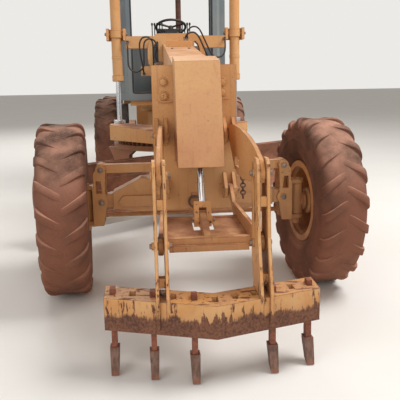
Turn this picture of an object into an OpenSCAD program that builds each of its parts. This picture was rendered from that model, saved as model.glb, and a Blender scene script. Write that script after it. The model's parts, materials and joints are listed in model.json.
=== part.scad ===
// Motor grader with a front scarifier, parked on its six wheels.
// Millimetres. The front points to -Y and up is +Z. The left pieces, at -X, and the right pieces,
// at +X, are named as somebody sees them who stands in front of the machine.
// Modules are drawn with the front axle at y = 0 and are moved at the end, so that the origin
// lies on the ground in the middle of the whole machine.

/* [Wheels] */
// Outside diameter of a tyre over its lugs
tyre_d = 1370; // [1250:1:1450]
// Width of a tyre
tyre_w = 375; // [330:1:400]
// Height of a tread lug
lug_h = 28; // [15:1:40]
// Lugs on each side of a tyre
lug_count = 20; // [12:1:24]
// Diameter of the rim's bead seat
rim_d = 610; // [580:1:620]
// Width of the rim over its flanges
rim_w = 286; // [250:1:320]
// Distance between the left and right wheel centres
track = 2050; // [1980:1:2200]
// Front axle to the middle of the tandem
wheel_base = 6100; // [5900:10:6500]
// Distance between the two wheels of a tandem
tandem_gap = 1540; // [1500:5:1700]
// Steering angle at which the front wheels are parked
steer_rest = 5; // [0:0.5:10]

/* [Front axle] */
// Height of the lean pins above the ground
lean_z = 740; // [700:1:780]
// Distance of each lean pin from the middle
lean_x = 730; // [700:1:760]
// Height of the lean bar's pins above the lean pins
lean_bar_rise = 260; // [240:1:300]
// Distance of each kingpin outboard of the lean pin
kingpin_out = 128; // [126:1:132]
// Width of the eyes on the axle and the lean bar
eye_w = 120; // [100:1:140]
// Running gap beside each eye
eye_gap = 2; // [1:0.5:4]
// Reach of a steering arm behind its kingpin
steer_arm = 190; // [180:1:200]
// Distance of a steering arm's ball inboard of its kingpin
steer_in = 25; // [20:1:40]

/* [Front frame] */
// Width of the box beam that arches over the circle
beam_w = 310; // [280:1:340]
// Height of the beam's top behind the nose plate
beam_front_z = 1800; // [1750:5:1850]
// Height of the beam's top at the saddle
beam_top_z = 2070; // [2040:5:2150]
// Width of the nose plate
nose_w = 620; // [580:5:660]
// Thickness of the nose plate
nose_t = 45; // [30:1:60]
// Front face of the nose plate ahead of the axle
nose_y = 340; // [320:5:380]

/* [Scarifier] */
// Pivot of the links ahead of the axle
link_y = 420; // [415:1:440]
// Height of the upper link's pivot
upper_link_z = 1290; // [1260:1:1300]
// Height of the lower link's pivot
lower_link_z = 880; // [860:1:900]
// Reach of the links, pivot to pivot, measured along Y
link_reach = 1000; // [950:5:1050]
// Fall of the links over their reach
link_fall = 130; // [100:1:160]
// Distance of the link pivots on the nose from the middle
link_nose_x = 250; // [245:1:260]
// Distance of the arms from the middle
arm_x = 292; // [285:1:300]
// Thickness of a link plate
link_t = 32; // [24:1:36]
// Thickness of each of an arm's two plates
arm_t = 20; // [16:1:22]
// Shank pockets on each side of the middle one
pocket_side = 5; // [4:1:5]
// Distance between shank pockets
pocket_pitch = 116; // [110:1:118]
// Sweep of the block, the middle forward
block_sweep = 18; // [14:0.5:20]
// Height of the block's top
block_top_z = 483; // [470:1:500]
// Height of the block
block_h = 195; // [180:1:210]
// Width of the block's top, front to back
block_w = 205; // [190:1:220]
// Middle of the block ahead of the arms' pins, at the arms
block_ahead = 97; // [90:1:110]
// Width of a tine's shank across the machine
tine_w = 32; // [26:1:36]

/* [Box cover] */
// Width of the cover over the lift cylinder
cover_w = 312; // [300:1:330]
// Thickness of the cover's sheet
cover_t = 6; // [4:1:10]
// Bore of the scarifier's lift cylinder barrel, outside diameter
scar_barrel_d = 95; // [85:1:105]
// Diameter of the scarifier's lift rod
scar_rod_d = 47; // [40:1:52]

/* [Circle and blade] */
// Centre of the circle behind the front axle
circle_y = 2500; // [2450:5:2550]
// Outside radius of the circle's lower flange
circle_r = 765; // [745:1:790]
// Teeth around the circle
circle_teeth = 64; // [48:2:72]
// Height of the circle's top face
circle_z = 1000; // [980:1:1020]
// Length of the moldboard
blade_l = 3660; // [3300:10:3700]
// Height of the moldboard, edge to edge
blade_h = 610; // [560:5:640]
// Radius of the moldboard's curve
blade_r = 413; // [390:1:450]
// Thickness of the moldboard
blade_t = 22; // [18:1:28]
// Angle of the blade across the machine
blade_yaw = 35; // [20:1:40]
// Height of the moldboard's lower lip above the ground
blade_lift = 215; // [190:1:240]

/* [Drawbar] */
// Ball at the drawbar's front, behind the front axle
ball_y = 330; // [320:1:340]
// Height of the drawbar's front ball
ball_z = 920; // [900:1:940]
// Diameter of the drawbar's front ball
ball_d = 110; // [90:1:120]

/* [Lift cylinders] */
// Distance of the lift cylinders from the middle
lift_x = 680; // [660:1:700]
// Lift cylinders behind the front axle
lift_y = 2330; // [2300:5:2360]
// Height of the trunnions
lift_top_z = 2190; // [2150:5:2230]
// Height of the balls on the drawbar
lift_ball_z = 1130; // [1120:1:1140]
// Diameter of a lift cylinder's barrel
lift_barrel_d = 115; // [105:1:120]
// Diameter of a lift cylinder's rod
lift_rod_d = 56; // [50:1:60]

/* [Cab] */
// Front of the cab behind the front axle
cab_y = 3420; // [3410:5:3440]
// Length of the cab
cab_l = 1020; // [1000:5:1030]
// Half of the cab's width at its front
cab_front_x = 600; // [580:1:620]
// Half of the cab's width at its doors
cab_side_x = 740; // [720:1:750]
// Height of the cab's floor
cab_floor_z = 1440; // [1430:1:1460]
// Height of the cab's roof
cab_roof_z = 3280; // [3200:5:3320]
// Thickness of the cab's posts and doors
post_t = 62; // [50:1:70]

/* [Rear frame] */
// Articulation pin behind the front axle
hinge_y = 4560; // [4540:5:4580]
// Length of the engine hood
hood_l = 3150; // [3000:10:3200]
// Width of the engine hood
hood_w = 960; // [900:5:1000]
// Height of the hood's top
hood_z = 2120; // [2050:5:2200]
// Thickness of the hood's panels
hood_t = 25; // [15:1:30]

/* [Hidden] */
$fn = 48;

paint = "#d9963f";
dark = "#3a3532";
steel = "#8f8a82";
rubber = "#45403c";
pillar = "#6f7a82";
chrome = "#c9cccf";
rust = "#6d4636";

fit = 0.08;         // radial play of a pin in its bore
seat_gap = 0.3;     // gap between faces that rest on each other

wheel_x = track / 2;
wheel_z = tyre_d / 2;
kingpin_x = lean_x + kingpin_out;
lean_bar_z = lean_z + lean_bar_rise;
mid_y = wheel_base - tandem_gap / 2;
back_y = wheel_base + tandem_gap / 2;

arm_y = -link_y - link_reach;
upper_arm_z = upper_link_z - link_fall;
lower_arm_z = lower_link_z - link_fall;
block_bottom_z = block_top_z - block_h;
apex_y = arm_y - block_ahead - arm_x * tan(block_sweep);
block_half = (pocket_side + 0.5) * pocket_pitch - 10;

bumper_y = wheel_base + 1960;
bumper_t = 120;
hitch_l = 95;
hitch_z = 800;
hitch_gap = 70;
hitch_t = 32;
hitch_bore = 42;
ripper_x = 400;
ripper_z = 240;
front_reach = block_w / 2 - apex_y;
rear_reach = bumper_y + bumper_t + hitch_l;
middle_y = (rear_reach - front_reach) / 2;

// Moves what is drawn about the front axle into the part's own frame
module place() {
  translate([0, -middle_y, 0])
    children();
}

// Draws the children on both sides
module both() {
  children();
  mirror([1, 0, 0])
    children();
}

// A plate whose outline is given as (y, z) points, centred on x
module side_plate(x, t, points) {
  translate([x - t / 2, 0, 0])
    rotate([90, 0, 90])
      linear_extrude(t)
        polygon(points);
}

// A plate whose outline is given as (x, z) points, from y0 to y1
module front_plate(y0, y1, points) {
  translate([0, y1, 0])
    rotate([90, 0, 0])
      linear_extrude(y1 - y0)
        polygon(points);
}

// A round bar along X, centred on x
module bar_x(x, y, z, d, l) {
  translate([x - l / 2, y, z])
    rotate([0, 90, 0])
      cylinder(d = d, h = l);
}

// A round bar along Y, centred on y
module bar_y(x, y, z, d, l) {
  translate([x, y + l / 2, z])
    rotate([90, 0, 0])
      cylinder(d = d, h = l);
}

// A box from corner to corner
module block(a, b) {
  translate(a)
    cube([b[0] - a[0], b[1] - a[1], b[2] - a[2]]);
}

// Tyre, standing at the origin with its axle along X
carcass_r = tyre_d / 2 - lug_h;
module tyre_section() {
  w = tyre_w / 2;
  bead_w = rim_w / 2 - 16;
  polygon([[rim_d / 2, -bead_w], [rim_d / 2 + 30, -bead_w], [rim_d / 2 + 52, -bead_w - 14],
    [rim_d / 2 + 110, -w + 14],
    [carcass_r - 130, -w], [carcass_r - 55, -w + 8], [carcass_r - 12, -w + 34], [carcass_r, -w + 75],
    [carcass_r, w - 75], [carcass_r - 12, w - 34], [carcass_r - 55, w - 8],
    [carcass_r - 130, w], [rim_d / 2 + 110, w - 14], [rim_d / 2 + 52, bead_w + 14],
    [rim_d / 2 + 30, bead_w], [rim_d / 2, bead_w]]);
}

module lugs() {
  pitch = 360 / lug_count;
  intersection() {
    for (side = [0, 1], k = [0:lug_count - 1]) {
      rotate([k * pitch + side * pitch / 2, 0, 0])
        mirror([side, 0, 0])
          translate([tyre_w / 4 - 6, 0, carcass_r + lug_h / 2 - 6])
            rotate([0, 0, 28])
              cube([tyre_w / 2 + 10, 50, lug_h + 12], center = true);
    }
    rotate([0, 90, 0])
      cylinder(r = tyre_d / 2, h = tyre_w - 8, center = true, $fn = 96);
  }
}

module tyre() {
  color(rubber) {
    rotate([0, 90, 0])
      rotate_extrude($fn = 64)
        tyre_section();
    lugs();
  }
}

// Rim with its disc and hub, axle along X, outboard side at +X
hub_in = 95;
hub_out = 118;
hub_d = 210;
stub_d = 90;
module rim() {
  r = rim_d / 2 - seat_gap;
  w = rim_w / 2;
  color(paint)
    rotate([0, 90, 0])
      rotate_extrude($fn = 64)
        polygon([[stub_d / 2 + fit, -hub_in], [hub_d / 2 - 12, -hub_in], [hub_d / 2, -hub_in + 12],
          [hub_d / 2, 22], [r - 36, 62], [r - 36, -w + 40], [r - 22, -w + 16], [r - 22, -w],
          [r + 28, -w], [r + 28, -w + 15], [r, -w + 15], [r, w - 15], [r + 28, w - 15],
          [r + 28, w], [r - 22, w], [r - 22, w - 16], [r - 36, 92], [hub_d / 2 + 8, 50],
          [hub_d / 2 - 18, hub_out], [0, hub_out], [0, hub_out - 22], [stub_d / 2 + fit, hub_out - 22]]);
}

// Wheel pieces at their places
module front_wheel_place(side) {
  translate([side * kingpin_x, 0, wheel_z])
    rotate([0, 0, steer_rest])
      translate([side * (wheel_x - kingpin_x), 0, 0])
        rotate([0, 0, side < 0 ? 180 : 0])
          children();
}

module rear_wheel_place(side, y) {
  translate([side * wheel_x, y, wheel_z])
    rotate([0, 0, side < 0 ? 180 : 0])
      children();
}

// Front axle beam with its eyes and bolster block
eye_r = 52;
axle_top_z = 925;
beam_low_z = 960;
pin_d = 50;
axle_half = 85;
module front_axle() {
  color(paint) {
    difference() {
      union() {
        front_plate(-axle_half, axle_half, [[-640, lean_z - 55], [-400, 655], [400, 655],
          [640, lean_z - 55],
          [640, lean_z + 75], [420, axle_top_z], [-420, axle_top_z], [-640, lean_z + 75]]);
        both() {
          front_plate(-eye_w / 2, eye_w / 2, [[600, lean_z - 50], [lean_x, lean_z - 48],
            [lean_x, lean_z + 48], [600, lean_z + 70]]);
          bar_y(lean_x, 0, lean_z, 2 * eye_r, eye_w);
        }
      }
      both()
        bar_y(lean_x, 0, lean_z, pin_d + 2 * fit, eye_w + 2);
    }
    // long pads welded to the front face
    both()
      front_plate(-axle_half - 16, -axle_half, [[320, 700], [560, 700], [600, 740], [560, 790],
        [320, 790]]);
  }
}

// Lean bracket: two cheeks, the web and the kingpin lugs
cheek_t = 24;
cheek_y = eye_w / 2 + eye_gap;
web_x = 56;
web_t = 16;
lug_t = 34;
kingpin_d = 60;
spindle_d = 100;
barrel_h = 250;
barrel_z = wheel_z + 25;
module lean_bracket() {
  x0 = lean_x;
  web = lean_x + web_x;
  top_z = barrel_z + barrel_h / 2 + eye_gap;
  low_z = barrel_z - barrel_h / 2 - eye_gap;
  color(paint) {
    difference() {
      union() {
        for (s = [-1, 1]) {
          translate([0, s * (cheek_y + cheek_t / 2), 0]) {
            difference() {
              front_plate(-cheek_t / 2, cheek_t / 2, [[x0 - 44, lean_z], [x0 - 10, low_z - lug_t],
                [web + 4, low_z - lug_t], [web + 4, lean_bar_z - 30], [x0 + 38, lean_bar_z],
                [x0 - 38, lean_bar_z], [x0 - 30, lean_z + 80]]);
              // window between the two pins
              front_plate(-cheek_t / 2 - 1, cheek_t / 2 + 1, [[x0 - 6, lean_z + 72], [x0 + 40, lean_z + 72],
                [x0 + 40, lean_bar_z - 90], [x0 + 2, lean_bar_z - 90]]);
            }
            bar_y(x0, 0, lean_z, 104, cheek_t);
            bar_y(x0, 0, lean_bar_z, 82, cheek_t);
          }
        }
        block([web, -cheek_y - cheek_t, low_z - lug_t], [web + web_t, cheek_y + cheek_t, top_z + lug_t]);
        for (z = [top_z, low_z - lug_t]) {
          block([web, -54, z], [kingpin_x, 54, z + lug_t]);
          translate([kingpin_x, 0, z])
            cylinder(r = spindle_d / 2 + 4, h = lug_t);
        }
        bar_y(x0, 0, lean_z, pin_d, 2 * cheek_y + 2 * cheek_t + 24);
        bar_y(x0, 0, lean_bar_z, 44, 2 * cheek_y + 2 * cheek_t + 24);
      }
      translate([kingpin_x, 0, low_z - lug_t - 1])
        cylinder(d = kingpin_d + 2 * fit, h = top_z - low_z + 2 * lug_t + 2);
    }
  }
}

// Spindle: kingpin, barrel, stub axle and steering arm, drawn for the +X side
arm_low_z = barrel_z - barrel_h / 2 - lug_t - 33;
ball_r = 32;
ball_boss = 44;
module spindle(side) {
  color(paint)
    translate([side * kingpin_x, 0, 0])
      rotate([0, 0, steer_rest])
        translate([-side * kingpin_x, 0, 0])
          mirror([side < 0 ? 1 : 0, 0, 0])
            union() {
              translate([kingpin_x, 0, barrel_z - barrel_h / 2])
                cylinder(d = spindle_d, h = barrel_h);
              translate([kingpin_x, 0, arm_low_z - 18])
                cylinder(d = kingpin_d, h = barrel_z + barrel_h / 2 + lug_t + 12 - arm_low_z + 18);
              bar_x((kingpin_x + wheel_x + hub_out - 28) / 2, 0, wheel_z, stub_d,
                wheel_x + hub_out - 28 - kingpin_x);
              bar_x(kingpin_x + spindle_d / 2, 0, wheel_z, 150, 20);
              translate([kingpin_x, 0, arm_low_z - 18])
                rotate([0, 0, atan(steer_in / steer_arm)])
                  translate([-18, 0, 0])
                    cube([36, steer_arm, 36]);
              translate([kingpin_x - steer_in, steer_arm, arm_low_z - ball_boss / 2])
                cylinder(r = ball_r, h = ball_boss);
            }
}

// Places of the steering arms' balls at the parked steering angle
function ball_at(side) = [
  side * (kingpin_x - steer_in * cos(steer_rest)) - steer_arm * sin(steer_rest),
  steer_arm * cos(steer_rest) - side * steer_in * sin(steer_rest)];

// Tie rod: a ball on a stud at the left arm, and a rod that ends short of the right arm
tie_d = 38;
tie_gap = 18;
tie_ball_r = 22;
tie_z = arm_low_z + ball_boss / 2 + seat_gap + 34;
module tie_rod_ball() {
  p = ball_at(-1);
  color(dark)
    translate([p[0], p[1], 0]) {
      translate([0, 0, arm_low_z + ball_boss / 2 + seat_gap])
        cylinder(r = ball_r - 6, h = 7);
      translate([0, 0, arm_low_z + ball_boss / 2 + 2])
        cylinder(r = 10, h = 30);
      translate([0, 0, tie_z])
        sphere(r = tie_ball_r);
    }
}

module tie_rod() {
  a = ball_at(-1);
  b = ball_at(1);
  end = b[0] - ball_r - tie_gap;
  color(dark)
    difference() {
      union() {
        bar_x((a[0] + end) / 2, a[1], tie_z + 4, tie_d, end - a[0]);
        translate([a[0], a[1], tie_z - 12])
          cylinder(r = ball_r + 2, h = 46);
      }
      translate([a[0], a[1], tie_z])
        sphere(r = tie_ball_r + seat_gap);
      translate([a[0], a[1], tie_z - 40])
        cylinder(r = tie_ball_r - 1, h = 40);
    }
}

lean_bar_t = 80;
module lean_bar() {
  color(paint)
    difference() {
      union() {
        front_plate(-lean_bar_t / 2, lean_bar_t / 2, [[-lean_x, lean_bar_z - 34], [lean_x, lean_bar_z - 34],
          [lean_x, lean_bar_z + 34], [-lean_x, lean_bar_z + 34]]);
        both()
          bar_y(lean_x, 0, lean_bar_z, 88, eye_w);
      }
      both()
        bar_y(lean_x, 0, lean_bar_z, 44 + 2 * fit, eye_w + 2);
    }
}

// Front frame: an arched box beam, its bolster over the axle and the tongue of the articulation
tongue_h = 150;
tongue_z = 1085;
hinge_pin_d = 90;
cab_base_z = cab_floor_z - 40 - seat_gap;
module lean_bar_tunnel() {
  block([-nose_w, -lean_bar_t / 2 - 10, lean_bar_z - 60], [nose_w, lean_bar_t / 2 + 10, lean_bar_z + 42]);
}

module front_frame() {
  w = beam_w;
  back = hinge_y;
  color(paint) {
    difference() {
      union() {
        side_plate(0, w, [[-nose_y + nose_t + seat_gap, beam_low_z], [170, beam_low_z], [330, 1130],
          [1250, 1500], [1900, 1640], [2600, 1665], [3020, 1640], [3190, 1570], [3275, 1450],
          [3310, 1060], [back - 300, 1060], [back - 300, cab_base_z], [cab_y - 20, cab_base_z],
          [cab_y - 70, 1500], [3190, 1800], [2860, 1985], [2480, beam_top_z],
          [lift_y - 130, beam_top_z], [-nose_y + nose_t + seat_gap, beam_front_z]]);
        // tongue that carries the articulation pin
        block([-130, back - 320, tongue_z], [130, back, tongue_z + tongue_h]);
        translate([0, back, tongue_z])
          cylinder(r = 130, h = tongue_h);
        // cab base
        block([-cab_front_x + 20, cab_y + 60, cab_floor_z - 110],
          [cab_front_x - 20, cab_y + 180, cab_base_z]);
        block([-cab_side_x + 40, cab_y + cab_l - 240, cab_floor_z - 110],
          [cab_side_x - 40, cab_y + cab_l - 120, cab_base_z]);
      }
      translate([0, back, tongue_z - 5])
        cylinder(d = hinge_pin_d + 2 * fit, h = tongue_h + 10);
      lean_bar_tunnel();
    }
    // bracket and ball that the drawbar swings on
    block([-90, 175, 860], [90, 225, 1150]);
    bar_y(0, ball_y - 60, ball_z, 56, 120);
    translate([0, ball_y, ball_z])
      sphere(d = ball_d);
  }
}

// A flat ring about Y, or about X when it is turned by 90 degrees
module bar_ring(x, y, z, r_out, r_in, t, turn) {
  translate([x, y, z])
    rotate([90, 0, turn])
      difference() {
        cylinder(r = r_out, h = t, center = true, $fn = 24);
        cylinder(r = r_in, h = t + 1, center = true, $fn = 24);
      }
}

// Nose: the plate, the bolster, the link clevises, a tow ring and a chain
chain_x = 359;
chain_z = 974;
ear_t = 26;
module nose() {
  y = -nose_y;
  gap = link_t + 8;
  color(paint) {
    difference() {
      union() {
        block([-nose_w / 2, y, 720], [nose_w / 2, y + nose_t, beam_front_z - 10]);
        block([-200, y + nose_t, 700], [200, 165, beam_low_z - seat_gap]);
        both()
          for (z = [upper_link_z, lower_link_z], s = [-1, 1]) {
            side_plate(link_nose_x + s * (gap + ear_t) / 2, ear_t, [[y, z - 80], [-link_y - 15, z - 42],
              [-link_y - 42, z - 15], [-link_y - 42, z + 15], [-link_y - 15, z + 42], [y, z + 120]]);
          }
        // ears for the scarifier cylinder's head
        both()
          side_plate(scar_head_w / 2 + eye_gap + ear_t / 2, ear_t, [[y, scar_top[1] - 110],
            [scar_top[0] + 10, scar_top[1] - 44], [scar_top[0] - 32, scar_top[1] - 30],
            [scar_top[0] - 44, scar_top[1]], [scar_top[0] - 30, scar_top[1] + 32], [y, scar_top[1] + 60]]);
      }
      both()
        for (z = [upper_link_z, lower_link_z])
          bar_x(link_nose_x, -link_y, z, 40 + 2 * fit, gap + 2 * ear_t + 2);
      bar_x(0, scar_top[0], scar_top[1], scar_pin_d + 2 * fit, scar_head_w + 2 * eye_gap + 2 * ear_t + 2);
      lean_bar_tunnel();
      // the axle passes under the bolster
      front_plate(-axle_half - 3, axle_half + 3, [[-640, 600], [640, 600],
        [640, axle_top_z + seat_gap], [-640, axle_top_z + seat_gap]]);
    }
    // tow ring in its lug
    block([-34, y - 58, 818], [6, y, 848]);
    bar_ring(-14, y - 30, 785, 50, 34, 18, 0);
    // short chain over a pin of the nose
    block([nose_w / 2 - 12, y + 4, 985], [nose_w / 2 + 62, y + 16, 1010]);
    for (k = [0:6])
      bar_ring(chain_x, y + 10, chain_z - k * 28, 22, 13, 9, 90 - 90 * (k % 2));
  }
}

// Folded cover over the scarifier's lift cylinder, open at the back and below
cover_top_z = 1810;
cover_low_z = 1115;
cover_top_y = -650;
cover_low_y = -860;
module box_cover() {
  back = -nose_y - seat_gap;
  outer = [[back, cover_low_z], [cover_low_y, cover_low_z], [cover_top_y, cover_top_z],
    [back, cover_top_z + 40]];
  color(paint) {
    difference() {
      side_plate(0, cover_w, outer);
      side_plate(0, cover_w - 2 * cover_t, [[back + 1, cover_low_z - 1],
        [cover_low_y + cover_t, cover_low_z - 1],
        [cover_top_y + cover_t, cover_top_z - cover_t], [back + 1, cover_top_z + 40 - cover_t]]);
    }
  }
}

// Saddle over the beam, with a fork for each lift cylinder
yoke_w = 30;
lift_knob_d = 88;
module saddle() {
  y0 = lift_y - 95;
  y1 = lift_y + 95;
  in = lift_x - lift_barrel_d / 2 - 22;
  side = beam_w / 2 + seat_gap;
  color(paint)
    both()
      difference() {
        union() {
          difference() {
            front_plate(y0, y1, [[side, 1740], [200, 1745], [296, 1816], [322, 1860], [330, 1930],
              [328, 2010], [314, 2095], [240, 2175], [208, 2190], [0, 2190],
              [0, beam_top_z + seat_gap], [side, beam_top_z + seat_gap]]);
            front_plate(y0 - 1, y1 + 1, [[205, 1840], [262, 1870], [272, 1930], [268, 2010], [250, 2070],
              [215, 2105], [205, 2090]]);
          }
          // arm out to the fork
          front_plate(y0 + 45, lift_y + 80, [[270, 2030], [in - yoke_w + 5, 2030], [in - yoke_w + 5, 2165],
            [260, 2165]]);
          // fork, open to the front
          for (x = [in - yoke_w, 2 * lift_x - in])
            block([x, lift_y - 55, lift_top_z - 70], [x + yoke_w, lift_y + 130, lift_top_z + 60]);
          block([in - yoke_w, lift_y + 100, lift_top_z - 70],
            [2 * lift_x - in + yoke_w, lift_y + 130, lift_top_z + 60]);
        }
        bar_x(lift_x, lift_y, lift_top_z, 46 + 2 * fit, 2 * (lift_x - in + yoke_w) + 16);
      }
  // blocks that the inner hoses end in
  color(paint) {
    block([-410, y0, 1720], [-285, y0 + 70, 1830]);
    block([310, y0, 1865], [402, y0 + 70, 1935]);
  }
}

// Lift cylinders
barrel_low_z = 1700;
barrel_top_z = 2900;
module lift_barrel(side) {
  x = side * lift_x;
  in = lift_barrel_d / 2 + 22;
  color(paint)
    difference() {
      union() {
        translate([x, lift_y, barrel_low_z])
          cylinder(d = lift_barrel_d, h = barrel_top_z - barrel_low_z);
        translate([x, lift_y, barrel_low_z - 30])
          cylinder(d = lift_barrel_d + 14, h = 60);
        translate([x, lift_y, barrel_top_z - 40])
          cylinder(d = lift_barrel_d + 12, h = 50);
        translate([x, lift_y, lift_top_z - 40])
          cylinder(d = lift_barrel_d + 26, h = 80);
        bar_x(x, lift_y, lift_top_z, 46, 2 * in + 2 * yoke_w + 12);
      }
      translate([x, lift_y, barrel_low_z - 31])
        cylinder(d = lift_rod_d + 2 * fit, h = barrel_top_z - barrel_low_z - 20);
    }
}

lift_cap_d = 136;
lift_slot = lift_knob_d + 16;
module lift_rod(side) {
  x = side * lift_x;
  color(chrome)
    union() {
      translate([x, lift_y, lift_ball_z + 65])
        cylinder(d = lift_rod_d, h = 1155);
      difference() {
        translate([x, lift_y, lift_ball_z - 15])
          cylinder(d = lift_cap_d, h = 105);
        block([x - lift_slot / 2, lift_y - lift_cap_d, lift_ball_z - 16],
          [x + lift_slot / 2, lift_y + lift_cap_d, lift_ball_z + lift_slot / 2 + 6]);
      }
    }
}

// Drawbar: the plan outline cut by the side outline
module drawbar() {
  color(paint) {
    difference() {
      intersection() {
        translate([0, 0, 700])
          linear_extrude(700)
            polygon([[-70, 420], [70, 420], [300, 1500], [lift_x + 100, 2010], [lift_x + 100, 2190],
              [560, 2280],
              [560, 2850], [420, 3000], [-420, 3000], [-560, 2850], [-560, 2280], [-lift_x - 100, 2190],
              [-lift_x - 100, 2010], [-300, 1500]]);
        side_plate(0, 1700, [[420, 860], [1500, 1020], [3000, 1020], [3000, 1110], [2195, 1110],
          [2190, 1190], [2010, 1190], [1500, 1150], [420, 980]]);
      }
      translate([0, 0, 700])
        linear_extrude(700)
          polygon([[-25, 900], [25, 900], [180, 1700], [360, 1960], [-360, 1960], [-180, 1700]]);
      translate([0, circle_y, 900])
        cylinder(r = 260, h = 300);
      // the cross box is lower between its ends
      front_plate(1965, 2194, [[-495, 1178], [-291, 1110.5], [291, 1110.5], [495, 1178], [500, 1300],
        [-500, 1300]]);
    }
    // shoes that carry the circle
    for (a = [45:90:315])
      translate([0, circle_y, 0])
        rotate([0, 0, a]) {
          block([shoe_in, -50, shoe_low_z], [band_in - 10, 50, circle_z + 30]);
          block([shoe_in, -50, shoe_low_z], [flange_in - 10, 50, band_z - seat_gap]);
          block([shoe_in, -50, circle_z + eye_gap], [band_in + 70, 50, circle_z + 60]);
        }
    // socket over the front ball
    difference() {
      bar_y(0, ball_y + 65, ball_z, 180, 110);
      translate([0, ball_y, ball_z])
        sphere(d = ball_d + 2 * seat_gap);
    }
    // balls for the lift cylinders
    both() {
      block([lift_x - 55, 2180, 1020], [lift_x + 55, lift_y + 55, 1080]);
      translate([lift_x, lift_y, 1075])
        cylinder(d = 60, h = 30);
      translate([lift_x, lift_y, lift_ball_z])
        sphere(d = lift_knob_d);
    }
  }
}

// Circle: flange, gear band and the arms that carry the blade
gear_r = circle_r - 42;
flange_in = circle_r - 100;
band_in = circle_r - 135;
band_z = circle_z - 55;
shoe_in = 550;
shoe_low_z = circle_z - 92;
function gear_point(k) =
  let (pitch = 360 / circle_teeth, step = floor(k / 4), part = k % 4,
    a = step * pitch + [0, 0.18, 0.42, 0.6][part] * pitch,
    r = gear_r + (part == 1 || part == 2 ? 0 : -34))
  [r * cos(a), r * sin(a)];

arm_in = 680;
arm_w = 50;
blade_pivot = [35, 330];
module blade_arm(x) {
  p = blade_pivot;
  difference() {
    side_plate(x, arm_w, [[-110, circle_z - 100], [8, circle_z - 170], [10, 500], [p[0] - 72, p[1] + 25],
      [p[0] - 72, p[1] - 25], [p[0] - 30, p[1] - 68], [p[0] + 30, p[1] - 68], [p[0] + 75, p[1] - 20],
      [p[0] + 85, p[1] + 60], [200, 600], [440, circle_z - 100]]);
    bar_x(x, p[0], p[1], 60 + 2 * fit, arm_w + 10);
  }
}

module at_circle() {
  translate([0, circle_y, 0])
    rotate([0, 0, blade_yaw])
      children();
}

module circle_part() {
  color(rust)
    at_circle() {
      difference() {
        union() {
          translate([0, 0, circle_z - 100])
            cylinder(r = circle_r, h = 55, $fn = 96);
          translate([0, 0, circle_z - 50])
            linear_extrude(50)
              polygon([for (k = [0:4 * circle_teeth - 1]) gear_point(k)]);
        }
        translate([0, 0, circle_z - 101])
          cylinder(r = band_in, h = 120, $fn = 96);
        translate([0, 0, circle_z - 101])
          cylinder(r = flange_in, h = band_z - circle_z + 101, $fn = 96);
      }
      for (s = [-1, 1])
        blade_arm(s * arm_in);
    }
}

// Carrier between the arms: it tips on the arms' pins, holds the moldboard's rails and carries
// the side-shift cylinder
rail_low_z = 360;
rail_high_z = 660;
rail_back_y = -56;
rail_h = 50;
shift_y = -65;
shift_z = 510;
shift_rod_d = 40;
shift_travel = 450;
shift_ear_x = 1125;
side_gap = 6;
carrier_x = arm_in - arm_w - side_gap;
module blade_tilt() {
  p = blade_pivot;
  color(rust)
    at_circle() {
      difference() {
        union() {
          for (s = [-1, 1]) {
            side_plate(s * carrier_x, arm_w, [[rail_back_y - 30, rail_low_z - 60], [p[0] - 20, p[1] - 62],
              [p[0] + 40, p[1] - 50], [p[0] + 62, p[1] + 20], [90, 520], [60, 700],
              [rail_back_y - 30, rail_high_z + 62]]);
            bar_x(s * arm_in, p[0], p[1], 60, arm_w + 2 * side_gap + 20);
          }
          bar_x(-300, shift_y, shift_z, 78, 1200);
          bar_x(0, 40, 430, 76, 2 * carrier_x);
        }
        for (z = [rail_low_z, rail_high_z])
          block([-carrier_x - arm_w, rail_back_y - 100, z - rail_h / 2 - 1],
            [carrier_x + arm_w, rail_back_y + 5, z + rail_h / 2 + 1]);
        bar_x(150, shift_y, shift_z, shift_rod_d + 2 * fit, 2040);
      }
    }
}

// Moldboard with its cutting edge, end bits and rails
blade_mid_z = blade_lift + blade_h / 2;
blade_half_angle = asin(blade_h / 2 / blade_r);
blade_cy = -115 - blade_t - blade_r;
edge_h = 150;
edge_t = 18;
lip_y = blade_cy + blade_r * cos(blade_half_angle);
end_inset = 20;
blade_back_y = blade_cy + blade_r + blade_t;
// parked side shift, which sets the blade evenly across the machine
blade_shift = (lip_y - edge_t + blade_back_y) / 2 * tan(blade_yaw) - end_inset / 2;

module curve_plate() {
  a = blade_half_angle;
  n = 14;
  polygon(concat(
    [for (k = [0:n]) let (t = -a + 2 * a * k / n)
      [blade_cy + blade_r * cos(t), blade_mid_z + blade_r * sin(t)]],
    [for (k = [n:-1:0]) let (t = -a + 2 * a * k / n)
      [blade_cy + (blade_r + blade_t) * cos(t), blade_mid_z + (blade_r + blade_t) * sin(t)]]));
}

module moldboard() {
  half = blade_l / 2;
  tip = blade_mid_z - blade_h / 2;
  color(steel)
    at_circle()
      translate([blade_shift, 0, 0]) {
        translate([-half + end_inset, 0, 0])
          rotate([90, 0, 90])
            linear_extrude(blade_l - 2 * end_inset)
              curve_plate();
        // cutting edge below the lower lip
        side_plate(0, blade_l, [[lip_y - edge_t, tip - 62], [lip_y, tip - 62], [lip_y + edge_t, tip + 6],
          [lip_y + 62, tip + 62], [lip_y + 44, tip + 78], [lip_y - 3, tip + 6]]);
      }
}

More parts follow.
